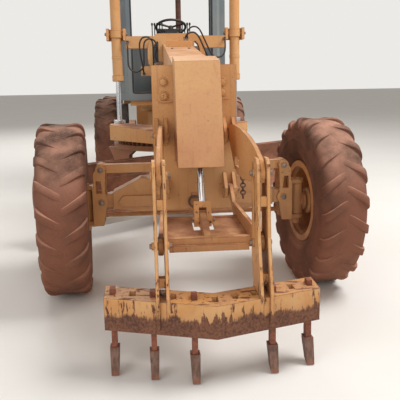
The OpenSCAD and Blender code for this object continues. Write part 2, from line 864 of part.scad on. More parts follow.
// Rails on the moldboard's back, with the ear and the rod of the side-shift cylinder
module moldboard_rails() {
  rail_half = carrier_x + arm_w + shift_travel + 40;
  color(steel)
    at_circle() {
      for (z = [rail_low_z, rail_high_z])
        block([-rail_half, rail_back_y - 100, z - rail_h / 2], [rail_half, rail_back_y, z + rail_h / 2]);
      block([shift_ear_x, shift_y - 70, shift_z - 45], [shift_ear_x + 30, rail_back_y, rail_high_z]);
      bar_x(shift_ear_x - 705, shift_y, shift_z, shift_rod_d, 1430);
    }
}

// Upper links: deep plates with a convex top edge and a window
module upper_link() {
  p = [-link_y, upper_link_z];
  q = [arm_y, upper_arm_z];
  splay = atan((arm_x - link_nose_x) / link_reach);
  xm = (arm_x + link_nose_x) / 2;
  color(paint)
    difference() {
      union() {
        translate([link_nose_x, p[0], 0])
          rotate([0, 0, splay])
            translate([0, -p[0], 0])
              side_plate(0, link_t - 6, [[p[0] + 38, p[1] + 20], [p[0] + 10, p[1] + 70],
                [p[0] - 160, p[1] + 85],
                [p[0] - 420, p[1] + 78], [p[0] - 680, p[1] + 45], [p[0] - 860, p[1] + 5],
                [q[0] - 20, q[1] + 75],
                [q[0] - 58, q[1] + 20], [q[0] - 40, q[1] - 52], [q[0] + 20, q[1] - 62],
                [p[0] - 780, p[1] - 215], [p[0] - 520, p[1] - 245], [p[0] - 250, p[1] - 215],
                [p[0] - 40, p[1] - 42],
                [p[0] + 30, p[1] - 30]]);
        bar_x(link_nose_x, p[0], p[1], 84, link_t);
        bar_x(arm_x, q[0], q[1], 110, link_t);
        bar_x(link_nose_x, p[0], p[1], 40, link_t + 2 * ear_t + 30);
      }
      bar_x(arm_x, q[0], q[1], 46 + 2 * fit, link_t + 2);
      block([xm - 60, p[0] - 400, p[1] - 192], [xm + 60, p[0] - 246, p[1] - 124]);
    }
}

// Lower link: two side plates, two cross members, a floor plate and the cylinder's lug
lug_y = -link_y - 460;
lug_z = lower_link_z - 115;
lug_w = 44;
lug_d = 104;
scar_pin_low_d = 40;
eye_drift = 18;
yoke_gap = 3;
yoke_leg_t = 32;
yoke_half = lug_w / 2 + yoke_gap + yoke_leg_t;
module lower_link() {
  p = [-link_y, lower_link_z];
  q = [arm_y, lower_arm_z];
  splay = atan((arm_x - link_nose_x) / link_reach);
  side = [[p[0] + 38, p[1] + 12], [p[0] + 5, p[1] + 42], [p[0] - 45, p[1] + 34], [p[0] - 150, p[1] - 62],
    [q[0] - 30, q[1] + 52], [q[0] - 50, q[1]], [q[0] - 20, q[1] - 52], [q[0] + 200, q[1] - 50],
    [p[0] - 200, p[1] - 160], [p[0] - 20, p[1] - 44], [p[0] + 32, p[1] - 26]];
  floor_z = lower_link_z - 145;
  front_z = floor_z - 22;
  rear = p[0] - 310;
  front = arm_y + 120;
  color(paint) {
    difference() {
      union() {
        both() {
          translate([link_nose_x, p[0], 0])
            rotate([0, 0, splay])
              translate([0, -p[0], 0])
                side_plate(0, link_t - 6, side);
          bar_x(link_nose_x, p[0], p[1], 84, link_t);
          bar_x(arm_x, q[0], q[1], 104, link_t);
          bar_x(link_nose_x, p[0], p[1], 40, link_t + 2 * ear_t + 30);
        }
        block([-262, rear, floor_z - 13], [262, rear + 40, floor_z + 12]);
        block([-284, front, front_z - 22], [284, front + 50, front_z + 42]);
        block([-240, front - 26, front_z - 34], [240, front + 20, front_z + 4]);
        difference() {
          side_plate(0, 520, [[rear + 10, floor_z - 8], [rear + 10, floor_z + 4], [front + 40, front_z + 2],
            [front + 40, front_z - 10]]);
          // well under the cylinder's yoke
          block([-yoke_half - 12, lug_y - 120, front_z - 60], [yoke_half + 12, lug_y + 125, floor_z + 25]);
        }
        // lug of the lift cylinder
        difference() {
          union() {
            side_plate(0, lug_w, [[rear + 30, floor_z - 8], [rear + 30, floor_z + 8],
              [lug_y + 48, lug_z + 22],
              [lug_y - 22, lug_z + 46], [front + 60, front_z + 34], [front + 20, front_z - 12]]);
            bar_x(0, lug_y, lug_z, lug_d, lug_w);
          }
          bar_x(0, lug_y, lug_z, scar_pin_low_d + 2 * eye_drift, lug_w + 2);
        }
      }
      both()
        bar_x(arm_x, q[0], q[1], 46 + 2 * fit, link_t + 2);
    }
  }
}

// Swept block with its shank pockets, and the two arms of twin plates
pocket_t = 74;
function pocket_y(k) = apex_y + abs(k) * pocket_pitch * tan(block_sweep);

module scarifier_frame() {
  slot = link_t + 6;
  run = block_half * tan(block_sweep);
  f = apex_y - block_w / 2;
  b = apex_y + block_w / 2;
  color(paint) {
    difference() {
      union() {
        translate([0, 0, block_bottom_z])
          linear_extrude(block_h)
            polygon([[0, f], [block_half, f + run], [block_half, b + run], [0, b],
              [-block_half, b + run], [-block_half, f + run]]);
        both()
          for (s = [-1, 1])
            side_plate(arm_x + s * (slot + arm_t) / 2, arm_t, [[arm_y - 70, upper_arm_z + 60],
              [arm_y - 40, upper_arm_z + 88], [arm_y + 40, upper_arm_z + 88],
              [arm_y + 75, upper_arm_z + 50],
              [arm_y + 85, lower_arm_z - 60], [arm_y + 30, block_top_z - 20],
              [arm_y - 60, block_bottom_z + 20],
              [arm_y - 205, block_bottom_z + 30], [arm_y - 215, block_top_z + 20],
              [arm_y - 110, lower_arm_z + 60]]);
        both() {
          for (z = [upper_arm_z, lower_arm_z])
            bar_x(arm_x, arm_y, z, 46, slot + 2 * arm_t + 24);
          block([arm_x - slot / 2, arm_y - 84, upper_arm_z - 180],
            [arm_x + slot / 2, arm_y - 60, upper_arm_z - 120]);
          block([arm_x - slot / 2, arm_y - 140, block_top_z + 60],
            [arm_x + slot / 2, arm_y - 100, block_top_z + 120]);
        }
      }
      for (k = [-pocket_side:pocket_side])
        translate([k * pocket_pitch, pocket_y(k), block_bottom_z - 1])
          translate([-tine_w / 2 - seat_gap, -pocket_t / 2, 0])
            cube([tine_w + 2 * seat_gap, pocket_t, block_h + 2]);
    }
  }
}

// Tines that are still in their pockets, each raked forward to its tip
tine_slots = [-5, -3, -1, 3, 5];
shank_outline = [[28, 40], [28, -150], [-14, -230], [-60, -230], [-32, -140], [-28, 40]];
tooth_outline = [[36, -138], [26, -170], [-24, -262], [-96, -282], [-78, -225], [-40, -132]];
tooth_high_w = 56;
tooth_low_w = 44;
module tines() {
  color(rust)
    for (k = tine_slots)
      translate([k * pocket_pitch, pocket_y(k), block_top_z - block_h]) {
        side_plate(0, tine_w, [for (p = shank_outline) [p[0], p[1] + (p[1] > 0 ? block_h - 10 : 0)]]);
        // replaceable tooth, narrower at its tip
        intersection() {
          side_plate(0, tooth_high_w, tooth_outline);
          front_plate(-100, 40, [[-tooth_high_w / 2, -131], [tooth_high_w / 2, -131],
            [tooth_low_w / 2, -283], [-tooth_low_w / 2, -283]]);
        }
      }
}

// Scarifier lift cylinder, leaning forward to the lug on the lower link
scar_top = [-460, 1700];
scar_len = sqrt(pow(scar_top[0] - lug_y, 2) + pow(scar_top[1] - lug_z, 2));
scar_lean = atan((scar_top[0] - lug_y) / (scar_top[1] - lug_z));
module at_scarifier_cylinder() {
  translate([0, lug_y, lug_z])
    rotate([-scar_lean, 0, 0])
      children();
}

scar_barrel_l = 560;
scar_head_w = 104;
scar_pin_d = 40;
scar_rod_in = 285;
module scarifier_barrel() {
  color(paint)
    at_scarifier_cylinder()
      difference() {
        union() {
          translate([0, 0, scar_len - scar_barrel_l])
            cylinder(d = scar_barrel_d, h = scar_barrel_l - 30);
          bar_x(0, 0, scar_len, 84, scar_head_w);
          translate([-30, -42, scar_len - 60])
            cube([60, 84, 60]);
          bar_x(0, 0, scar_len, scar_pin_d, scar_head_w + 2 * eye_gap + 2 * ear_t + 20);
        }
        translate([0, 0, scar_len - scar_barrel_l - 1])
          cylinder(d = scar_rod_d + 2 * fit, h = scar_barrel_l - 70);
      }
}

yoke_leg_d = 92;
yoke_low = 76;
yoke_high = 118;
module scarifier_rod() {
  leg = (lug_w + yoke_leg_t) / 2 + yoke_gap;
  at_scarifier_cylinder() {
    color(chrome)
      translate([0, 0, yoke_high - 20])
        cylinder(d = scar_rod_d, h = scar_len - scar_barrel_l + scar_rod_in - yoke_high + 20);
    color(paint) {
      block([-yoke_half, -yoke_leg_d / 2, yoke_low], [yoke_half, yoke_leg_d / 2, yoke_high]);
      both() {
        bar_x(leg, 0, 0, yoke_leg_d, yoke_leg_t);
        block([leg - yoke_leg_t / 2, -yoke_leg_d / 2, 0],
          [leg + yoke_leg_t / 2, yoke_leg_d / 2, yoke_low + 5]);
      }
      bar_x(0, 0, 0, scar_pin_low_d, 2 * yoke_half + 24);
    }
  }
}

corner_l = 240;

// Cab: floor, roof, posts and rear wall, with its windows cut
function cab_plan(in) = [[-cab_front_x + in, cab_y + in], [cab_front_x - in, cab_y + in],
  [cab_side_x - in, cab_y + corner_l + in / 3], [cab_side_x - in, cab_y + cab_l - in],
  [-cab_side_x + in, cab_y + cab_l - in], [-cab_side_x + in, cab_y + corner_l + in / 3]];
roof_lip = 45;
door_y0 = cab_y + 290;
door_y1 = cab_y + cab_l - 70;
door_z0 = cab_floor_z + 30;
door_z1 = cab_roof_z - 160;
module cab() {
  color(pillar) {
    // hinge pins on brackets at each door
    both()
      for (z = hinge_z) {
        translate([door_hinge_x, door_hinge_y, z - 22])
          cylinder(d = door_pin_d, h = 80);
        block([cab_side_x - 10, door_hinge_y - 30, z - 22],
          [door_hinge_x + 10, door_hinge_y + 8, z - eye_gap]);
      }
    difference() {
      union() {
        translate([0, 0, cab_floor_z - 40])
          linear_extrude(cab_roof_z - cab_floor_z + 40)
            polygon(cab_plan(0));
        translate([0, 0, cab_roof_z - 90])
          linear_extrude(90)
            polygon(cab_plan(-roof_lip));
      }
      translate([0, 0, cab_floor_z])
        linear_extrude(cab_roof_z - cab_floor_z - 60)
          polygon(cab_plan(post_t));
      // front window
      block([-cab_front_x + post_t, cab_y - 10, cab_floor_z + 60],
        [cab_front_x - post_t, cab_y + 90, cab_roof_z - 170]);
      // quarter windows
      block([-1000, cab_y + 80, cab_floor_z + 60], [1000, cab_y + corner_l - 20, cab_roof_z - 170]);
      // door openings
      block([-1000, door_y0, door_z0], [1000, door_y1, door_z1]);
      // rear window
      block([-cab_side_x + 130, cab_y + cab_l - 90, cab_floor_z + 700],
        [cab_side_x - 130, cab_y + cab_l + 10, cab_roof_z - 170]);
    }
  }
}

door_gap = 10;
door_pin_d = 14;
door_hinge_x = cab_side_x + 20;
door_hinge_y = door_y0 - 8;
hinge_z = [door_z0 + 250, door_z1 - 310];
module door(side) {
  x0 = cab_side_x - post_t;
  y0 = door_y0 + door_gap;
  y1 = door_y1 - door_gap;
  z0 = door_z0 + door_gap;
  z1 = door_z1 - door_gap;
  color(pillar)
    mirror([side < 0 ? 1 : 0, 0, 0]) {
      difference() {
        block([x0 + 8, y0, z0], [cab_side_x + 8, y1, z1]);
        block([x0, y0 + 70, z0 + 420], [cab_side_x + 20, y1 - 70, z1 - 80]);
        block([x0, y0 + 70, z0 + 70], [cab_side_x + 20, y1 - 70, z0 + 350]);
      }
      // knuckles on the hinge pins
      for (z = hinge_z)
        difference() {
          union() {
            translate([door_hinge_x, door_hinge_y, z])
              cylinder(d = 30, h = 60);
            block([cab_side_x + 6, door_hinge_y + 2, z], [door_hinge_x, y0 + 50, z + 60]);
          }
          translate([door_hinge_x, door_hinge_y, z - 1])
            cylinder(d = door_pin_d + 2 * fit, h = 62);
        }
    }
}

module seat() {
  y = cab_y + 430;
  z = cab_floor_z + seat_gap;
  color(dark) {
    block([-150, y + 60, z], [150, y + 300, z + 330]);
    block([-240, y, z + 330], [240, y + 430, z + 450]);
    side_plate(0, 460, [[y + 330, z + 440], [y + 430, z + 440], [y + 500, z + 1000], [y + 420, z + 1000]]);
  }
}

// Steering column with its wheel and the two banks of control levers
module controls() {
  y = cab_y + 90;
  z = cab_floor_z + seat_gap;
  color(dark) {
    side_plate(0, 150, [[y, z], [y + 160, z], [y + 260, z + 860], [y + 120, z + 900]]);
    translate([0, y + 200, z + 930])
      rotate([-25, 0, 0]) {
        rotate_extrude($fn = 48)
          translate([200, 0])
            circle(d = 32, $fn = 16);
        translate([0, 0, -60])
          cylinder(d = 70, h = 70);
        for (a = [90, 210, 330])
          rotate([0, 0, a])
            translate([0, -12, -8])
              cube([200, 24, 16]);
      }
    for (s = [-1, 1], k = [0:4])
      translate([s * (120 + k * 34), y + 150, z + 700])
        cylinder(d = 14, h = 260);
    for (s = [-1, 1])
      block([s * 172 - 112, y + 110, z + 660], [s * 172 + 112, y + 190, z + 710]);
  }
}

// Hoses that loop over the beam, swept along points chosen by hand
hose_d = 18;
function beam_top(y) =
  let (y0 = -nose_y + nose_t + seat_gap, y1 = lift_y - 130)
  beam_front_z + (beam_top_z - beam_front_z) * (y - y0) / (y1 - y0);
saddle_face = lift_y - 95 - seat_gap;
arm_face = lift_y - 50 - seat_gap;
beam_side = beam_w / 2 + seat_gap;
hose_paths = [
  [[-377, saddle_face, 1745], [-377, 2195, 1745], [-378, 2156, 1755], [-383, 2121, 1788],
    [-388, 2107, 1832], [-400, 2101, 1900], [-411, 2097, 1975], [-416, 2094, 2045], [-410, 2093, 2090],
    [-388, 2092, 2128], [-350, 2093, 2144], [-309, 2097, 2138], [-279, 2103, 2108], [-267, 2110, 2060],
    [-266, 2125, 1985], [-266, 2140, 1905], [-265, 2149, 1832], [-253, 2150, 1786], [-229, 2150, 1758],
    [-190, 2150, 1745], [-beam_side, 2150, 1745]],
  [[-552, arm_face, 2100], [-552, 2240, 2100], [-552, 2200, 2089], [-551, 2170, 2058],
    [-550, 2152, 2008], [-549, 2118, 1872], [-538, 2108, 1818], [-507, 2101, 1780], [-462, 2095, 1766],
    [-416, 2089, 1778], [-384, 2082, 1812], [-372, 2074, 1862], [-371, 2060, 1990], [-369, 2057, 2050],
    [-356, 2056, 2092], [-326, 2057, 2116], [-290, 2059, 2120], [-254, 2063, 2104], [-231, 2069, 2068],
    [-226, 2077, 2018], [-236, 2090, 1975], [-244, 2102, 1930], [-234, 2108, 1892], [-209, 2110, 1869],
    [-174, 2110, 1860], [-beam_side, 2110, 1860]],
  [[119, 2120, beam_top(2120) + seat_gap], [119, 2115.7, beam_top(2120) + 40], [118, 2105, 2140],
    [119, 2092, 2180], [133, 2080, 2217], [161, 2071, 2241], [196, 2066, 2248], [231, 2065, 2237],
    [260, 2066, 2206], [286, 2070, 2155], [311, 2075, 2102], [336, 2081, 2050], [359, 2087, 2002],
    [382, 2092, 1962], [412, 2097, 1930], [455, 2103, 1915], [500, 2111, 1925], [533, 2122, 1957],
    [546, 2136, 2003], [550, 2155, 2055], [552, 2192, 2101], [552, 2240, 2125], [552, arm_face, 2125]],
  [[85, 2030, beam_top(2030) + seat_gap], [85, 2025.7, beam_top(2030) + 40], [92, 2018, 2130],
    [112, 2010, 2163], [148, 2003, 2181], [186, 2002, 2181], [218, 2005, 2160], [244, 2012, 2126],
    [265, 2024, 2085], [286, 2042, 2042], [307, 2066, 2000], [328, 2096, 1958], [346, 2130, 1926],
    [361, 2168, 1905], [370, 2205, 1900], [370, saddle_face, 1900]]];

function unit(v) = v / norm(v);
function heading(path, k) = unit(path[min(k + 1, len(path) - 1)] - path[max(k - 1, 0)]);
// which way is sideways at each ring, carried along the path so that the tube doesn't twist
function sideways(path, k, u) =
  let (t = heading(path, k), w = unit(u - (u * t) * t))
  k == len(path) - 1 ? [w] : concat([w], sideways(path, k + 1, w));
function ring_at(path, k, u, d, n) =
  let (v = cross(heading(path, k), u))
  [for (j = [0:n - 1]) path[k] + d / 2 * (u * cos(360 * j / n) + v * sin(360 * j / n))];

module tube(path, d, n = 8) {
  m = len(path);
  side = sideways(path, 0, [1, 0, 0]);
  polyhedron(
    points = [for (k = [0:m - 1]) each ring_at(path, k, side[k], d, n)],
    faces = concat(
      [[for (j = [n - 1:-1:0]) j]],
      [for (k = [0:m - 2], j = [0:n - 1])
        [k * n + j, k * n + (j + 1) % n, (k + 1) * n + (j + 1) % n, (k + 1) * n + j]],
      [[for (j = [0:n - 1]) (m - 1) * n + j]]));
}

module hoses() {
  color(dark)
    for (path = hose_paths)
      tube(path, hose_d);
}

module lamps() {
  color("#e8e4d8")
    for (x = [-430, -250, 250, 430])
      bar_y(x, cab_y - roof_lip - 35 - seat_gap, cab_roof_z - 45, 120, 70);
}

module steps() {
  y = cab_y + cab_l - 40;
  color(dark)
    both()
      difference() {
        block([cab_side_x - 100, y - 500, 1000], [cab_side_x + 60, y - 60, cab_floor_z - 110 - seat_gap]);
        for (z = [1040, 1180])
          block([cab_side_x - 110, y - 470, z], [cab_side_x + 70, y - 90, z + 100]);
      }
}

// Rear frame: rails, articulation fork, cross member, bumper and tow hitch
fork_t = 60;
module rear_frame() {
  f = hinge_y + 190;
  back = bumper_y + bumper_t;
  color(paint)
    difference() {
      union() {
        both()
          block([250, f, 900], [360, bumper_y, 1180]);
        block([-360, f, 900], [360, f + 140, 1180]);
        block([-600, bumper_y, 720], [600, back, 1230]);
        block([-360, wheel_base - 160, 900], [360, wheel_base + 160, 1180]);
        for (z = [tongue_z - eye_gap - fork_t, tongue_z + tongue_h + eye_gap]) {
          block([-150, hinge_y, z], [150, f + 10, z + fork_t]);
          translate([0, hinge_y, z])
            cylinder(r = 135, h = fork_t);
        }
        block([-150, f, 1180], [150, f + 42, tongue_z + tongue_h + eye_gap + fork_t]);
        translate([0, hinge_y, tongue_z - 75])
          cylinder(d = hinge_pin_d, h = tongue_h + 150);
        for (z = [hitch_z, hitch_z + hitch_t + hitch_gap])
          block([-70, back, z], [70, back + hitch_l, z + hitch_t]);
      }
      translate([0, back + hitch_l / 2, hitch_z - 1])
        cylinder(d = hitch_bore, h = 2 * hitch_t + hitch_gap + 2);
      // holes for a ripper
      for (x = [-1, 1], z = [-1, 1])
        bar_y(x * ripper_x / 2, bumper_y + bumper_t / 2, 1000 + z * ripper_z / 2, 22, bumper_t + 2);
    }
}

// Final drive and the two tandem cases
tandem_in = 590;
tandem_out = 790;
module rear_axle() {
  y = wheel_base;
  z = wheel_z;
  h = tandem_gap / 2;
  color(paint) {
    both() {
      side_plate((tandem_in + tandem_out) / 2, tandem_out - tandem_in, [[y - h - 210, z - 60],
        [y - h - 120, z - 190],
        [y + h + 120, z - 190], [y + h + 210, z - 60], [y + h + 210, z + 60], [y + h + 120, z + 190],
        [y + 260, z + 260], [y - 260, z + 260], [y - h - 120, z + 190], [y - h - 210, z + 60]]);
      for (s = [-1, 1]) {
        bar_x((tandem_out + wheel_x - hub_in - 20) / 2, y + s * h, z, 230,
          wheel_x - hub_in - 20 - tandem_out);
        bar_x((tandem_out + wheel_x + hub_out - 28) / 2, y + s * h, z, stub_d,
          wheel_x + hub_out - 28 - tandem_out);
      }
    }
    bar_x(0, y, z, 340, 2 * tandem_in);
    bar_x(0, y, z, 420, 300);
    block([-200, y - 150, z + 150], [200, y + 150, 900 - seat_gap]);
  }
}

module engine_block() {
  color(steel)
    block([-245, 5300, 1180 + seat_gap], [245, 6650, 1850]);
}

// Engine hood: a thin shell with side and rear grilles
module hood() {
  y0 = hinge_y + 240;
  y1 = y0 + hood_l;
  w = hood_w / 2;
  base = 1180 + seat_gap;
  color(paint)
    difference() {
      front_plate(y0, y1, [[-w, base], [w, base], [w, hood_z - 60], [w - 60, hood_z], [-w + 60, hood_z],
        [-w, hood_z - 60]]);
      front_plate(y0 + hood_t, y1 - hood_t, [[-w + hood_t, base - 1], [w - hood_t, base - 1],
        [w - hood_t, hood_z - 70],
        [w - 70, hood_z - hood_t], [-w + 70, hood_z - hood_t], [-w + hood_t, hood_z - 70]]);
      // louvres on each side
      for (y = [y0 + 300, y0 + 1150], k = [0:6])
        block([-w - 10, y, 1320 + k * 90], [w + 10, y + 640, 1360 + k * 90]);
      // radiator grille at the back
      for (k = [0:8])
        block([-w + 110, y1 - hood_t - 5, 1300 + k * 80], [w - 110, y1 + 5, 1345 + k * 80]);
    }
}

module exhaust() {
  color(rust)
    difference() {
      union() {
        translate([150, 5600, hood_z + seat_gap])
          cylinder(d = 220, h = 320);
        translate([205, 5600, hood_z + 320])
          cylinder(d = 90, h = 640);
        translate([-180, 5300, hood_z + seat_gap])
          cylinder(d = 120, h = 60);
        translate([-180, 5300, hood_z + 55])
          cylinder(d = 240, h = 115);
      }
      translate([205, 5600, hood_z + 400])
        cylinder(d = 78, h = 700);
    }
}

place() rear_frame();
place() rear_axle();
place() engine_block();
place() hood();
place() exhaust();
place() front_frame();
place() nose();
place() box_cover();
place() saddle();
place() front_axle();
place() cab();
place() seat();
place() controls();
place() hoses();
place() lamps();
place() steps();
place() door(-1);  // door_left
place() door(1);  // door_right
place() mirror([1, 0, 0]) lean_bracket();  // lean_left
place() lean_bracket();  // lean_right
place() lean_bar();
place() spindle(-1);  // spindle_left
place() spindle(1);  // spindle_right
place() tie_rod_ball();
place() tie_rod();
place() drawbar();
place() circle_part();  // circle
place() blade_tilt();
place() union() { moldboard(); moldboard_rails(); }
place() lift_barrel(-1);  // lift_barrel_left
place() lift_barrel(1);  // lift_barrel_right
place() lift_rod(-1);  // lift_rod_left
place() lift_rod(1);  // lift_rod_right
place() both() upper_link();  // upper_links
place() lower_link();
place() scarifier_frame();
place() tines();
place() scarifier_barrel();
place() scarifier_rod();
place() front_wheel_place(-1) tyre();  // tyre_front_left
place() front_wheel_place(1) tyre();  // tyre_front_right
place() rear_wheel_place(-1, mid_y) tyre();  // tyre_mid_left
place() rear_wheel_place(1, mid_y) tyre();  // tyre_mid_right
place() rear_wheel_place(-1, back_y) tyre();  // tyre_back_left
place() rear_wheel_place(1, back_y) tyre();  // tyre_back_right
place() front_wheel_place(-1) rim();  // rim_front_left
place() front_wheel_place(1) rim();  // rim_front_right
place() rear_wheel_place(-1, mid_y) rim();  // rim_mid_left
place() rear_wheel_place(1, mid_y) rim();  // rim_mid_right
place() rear_wheel_place(-1, back_y) rim();  // rim_back_left
place() rear_wheel_place(1, back_y) rim();  // rim_back_right
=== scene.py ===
"""Looks of a motor grader: its finishes and small fittings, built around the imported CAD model."""

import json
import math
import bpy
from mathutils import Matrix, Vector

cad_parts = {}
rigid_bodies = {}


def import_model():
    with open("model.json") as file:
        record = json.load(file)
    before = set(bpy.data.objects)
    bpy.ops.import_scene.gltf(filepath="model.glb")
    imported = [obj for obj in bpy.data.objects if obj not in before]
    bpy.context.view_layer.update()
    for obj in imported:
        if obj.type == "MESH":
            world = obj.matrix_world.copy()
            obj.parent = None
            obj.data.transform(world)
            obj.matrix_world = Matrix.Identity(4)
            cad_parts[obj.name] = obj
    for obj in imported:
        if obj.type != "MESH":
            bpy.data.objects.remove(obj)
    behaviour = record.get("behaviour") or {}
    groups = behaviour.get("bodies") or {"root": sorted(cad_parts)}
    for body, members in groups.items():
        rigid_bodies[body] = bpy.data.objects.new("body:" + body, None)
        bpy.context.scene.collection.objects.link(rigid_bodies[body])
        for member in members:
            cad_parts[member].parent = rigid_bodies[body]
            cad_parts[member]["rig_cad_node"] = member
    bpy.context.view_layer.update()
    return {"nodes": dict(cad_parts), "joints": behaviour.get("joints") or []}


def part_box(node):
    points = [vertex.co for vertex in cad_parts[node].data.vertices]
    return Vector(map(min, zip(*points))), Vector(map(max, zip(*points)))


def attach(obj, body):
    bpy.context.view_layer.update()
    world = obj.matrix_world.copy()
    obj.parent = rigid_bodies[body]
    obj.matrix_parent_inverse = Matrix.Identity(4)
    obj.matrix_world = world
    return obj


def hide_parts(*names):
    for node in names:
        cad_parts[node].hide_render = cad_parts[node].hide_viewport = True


bl_info = {
    "name": "Motor Grader Looks",
    "version": (1, 0, 0),
    "blender": (4, 5, 0),
    "location": "3D View > Sidebar > Grader",
    "description": "Tyres, hoses, bolts, seat, finishes and studio of a motor grader",
    "category": "Object",
}

import bpy
from mathutils import Matrix, Vector
from mathutils.bvhtree import BVHTree

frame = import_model()
NODES = frame["nodes"]
JOINTS = {joint["name"]: joint for joint in frame["joints"]}
FRONT_AXLE_Y = JOINTS["wheel_lean"]["pos_m"][1]
WHEELS = ("front_left", "front_right", "mid_left", "mid_right", "back_left", "back_right")
SIDES = ((-1, "left"), (1, "right"))
UPRIGHT = Matrix.Rotation(-math.pi / 2, 4, "Y")  # stands a turned piece on end, +X up


def ink(red, green, blue):
    """A colour given as 0-255 display values, as linear RGBA."""
    def linear(value):
        value /= 255
        return value / 12.92 if value <= 0.04045 else ((value + 0.055) / 1.055) ** 2.4
    return (linear(red), linear(green), linear(blue), 1.0)


def along(x, y, z):
    """A point measured from the front axle's middle, as a place in the part's frame."""
    return Vector((x, y + FRONT_AXLE_Y, z))


def across(y, spots, side=1):
    """Places in the upright plane across the machine at y, from (x, z); side -1 mirrors them."""
    return [along(x * side, y, z) for x, z in spots]


def beside(x, spots):
    """Places in the upright plane along the machine at x, from (y, z)."""
    return [along(x, y, z) for y, z in spots]


def rectangle(left, low, right, high):
    """The corners of an upright rectangle in turn, for across or beside."""
    return [(left, low), (right, low), (right, high), (left, high)]


# ---------------------------------------------------------------- modelling helpers


def drop_selection():
    """Nothing is left selected."""
    if bpy.context.object and bpy.context.object.mode != "OBJECT":
        bpy.ops.object.mode_set(mode="OBJECT")
    bpy.ops.object.select_all(action="DESELECT")


def take(piece):
    """The piece is selected alone."""
    drop_selection()
    piece.select_set(True)
    bpy.context.view_layer.objects.active = piece


def edit(piece, kind="VERT"):
    """Opens the piece in edit mode with all of it selected."""
    take(piece)
    bpy.ops.object.mode_set(mode="EDIT")
    bpy.ops.mesh.select_mode(type=kind)
    bpy.ops.mesh.select_all(action="SELECT")


def settle(piece):
    """The piece's place goes into its mesh."""
    take(piece)
    bpy.ops.object.transform_apply(location=True, rotation=True, scale=True)


def finish_with(piece, kind, **settings):
    """Adds a modifier and applies it."""
    take(piece)
    modifier = piece.modifiers.new(kind.title(), kind)
    for key, value in settings.items():
        setattr(modifier, key, value)
    bpy.ops.object.modifier_apply(modifier=modifier.name)


def smooth(piece, degrees=35):
    """Shades the piece smooth up to an angle, and hands it back."""
    take(piece)
    bpy.ops.object.shade_smooth_by_angle(angle=math.radians(degrees))
    return piece


def outline(name, points):
    """A chain of vertices through the points, extruded from one to the next."""
    drop_selection()
    bpy.ops.mesh.primitive_plane_add(size=0.01)
    piece = bpy.context.object
    piece.name = piece.data.name = name
    edit(piece)
    bpy.ops.mesh.merge(type="CENTER")
    bpy.ops.transform.translate(value=points[0])
    for start, end in zip(points, points[1:]):
        step = [b - a for a, b in zip(start, end)]
        bpy.ops.mesh.extrude_vertices_move(TRANSFORM_OT_translate={"value": step})
    bpy.ops.mesh.select_all(action="SELECT")
    return piece


def outwards():
    """Turns every face of the open mesh outwards and leaves edit mode."""
    bpy.ops.mesh.select_all(action="SELECT")
    bpy.ops.mesh.normals_make_consistent(inside=False)
    bpy.ops.object.mode_set(mode="OBJECT")


def turned(name, profile, steps, place=Matrix()):
    """A closed profile of (x, radius) points spun about the X axis, then put in its place."""
    ring = [(x, 0, r) for x, r in profile]
    piece = outline(name, ring + ring[:1])
    bpy.ops.mesh.spin(steps=steps, angle=math.tau, center=(0, 0, 0), axis=(1, 0, 0))
    bpy.ops.mesh.select_all(action="SELECT")
    bpy.ops.mesh.remove_doubles(threshold=0.00002)
    outwards()
    piece.data.transform(place)
    return piece


def hoop(name, inner, outer, half, steps, middle):
    """A level band round something upright: its two radii and half its height."""
    return turned(name, [(-half, inner), (-half, outer), (half, outer), (half, inner)], steps,
                  Matrix.Translation(middle) @ Matrix.Rotation(math.pi / 2, 4, "Y"))


def slab(name, points, depth, bevel):
    """A flat outline pushed out by the depth vector, with its edges broken."""
    piece = outline(name, points)
    bpy.ops.mesh.edge_face_add()
    bpy.ops.mesh.extrude_region_move(TRANSFORM_OT_translate={"value": depth})
    outwards()
    finish_with(piece, "BEVEL", width=bevel, segments=2, limit_method="ANGLE")
    return piece


def block(name, low, high, bevel):
    """A box between two corners, with its edges rounded."""
    low, high = Vector(low), Vector(high)
    drop_selection()
    bpy.ops.mesh.primitive_cube_add(size=1, location=(low + high) / 2, scale=high - low)
    piece = bpy.context.object
    piece.name = piece.data.name = name
    settle(piece)
    finish_with(piece, "BEVEL", width=bevel, segments=2, limit_method="ANGLE")
    return piece


def joined(name, pieces):
    """Several pieces made one."""
    take(pieces[0])
    for piece in pieces:
        piece.select_set(True)
    bpy.ops.object.join()
    result = bpy.context.object
    result.name = result.data.name = name
    return result


def placed(template, matrix):
    """A copy of the template with its own mesh, moved by the matrix."""
    copy = template.copy()
    copy.data = template.data.copy()
    copy.data.transform(matrix)
    bpy.context.collection.objects.link(copy)
    return copy


def spread(template, matrices):
    """A copy of the template for each matrix; the template itself goes."""
    copies = [placed(template, matrix) for matrix in matrices]
    bpy.data.objects.remove(template)
    return copies


def facing(place, direction, size=1.0, turn=0.0, top="Z"):
    """The matrix that stands a template at a place, its top axis towards a direction."""
    look = Vector(direction).to_track_quat(top, "Y" if top == "Z" else "Z").to_matrix().to_4x4()
    return (Matrix.Translation(Vector(place)) @ look @ Matrix.Rotation(turn, 4, top)
            @ Matrix.Scale(size, 4))


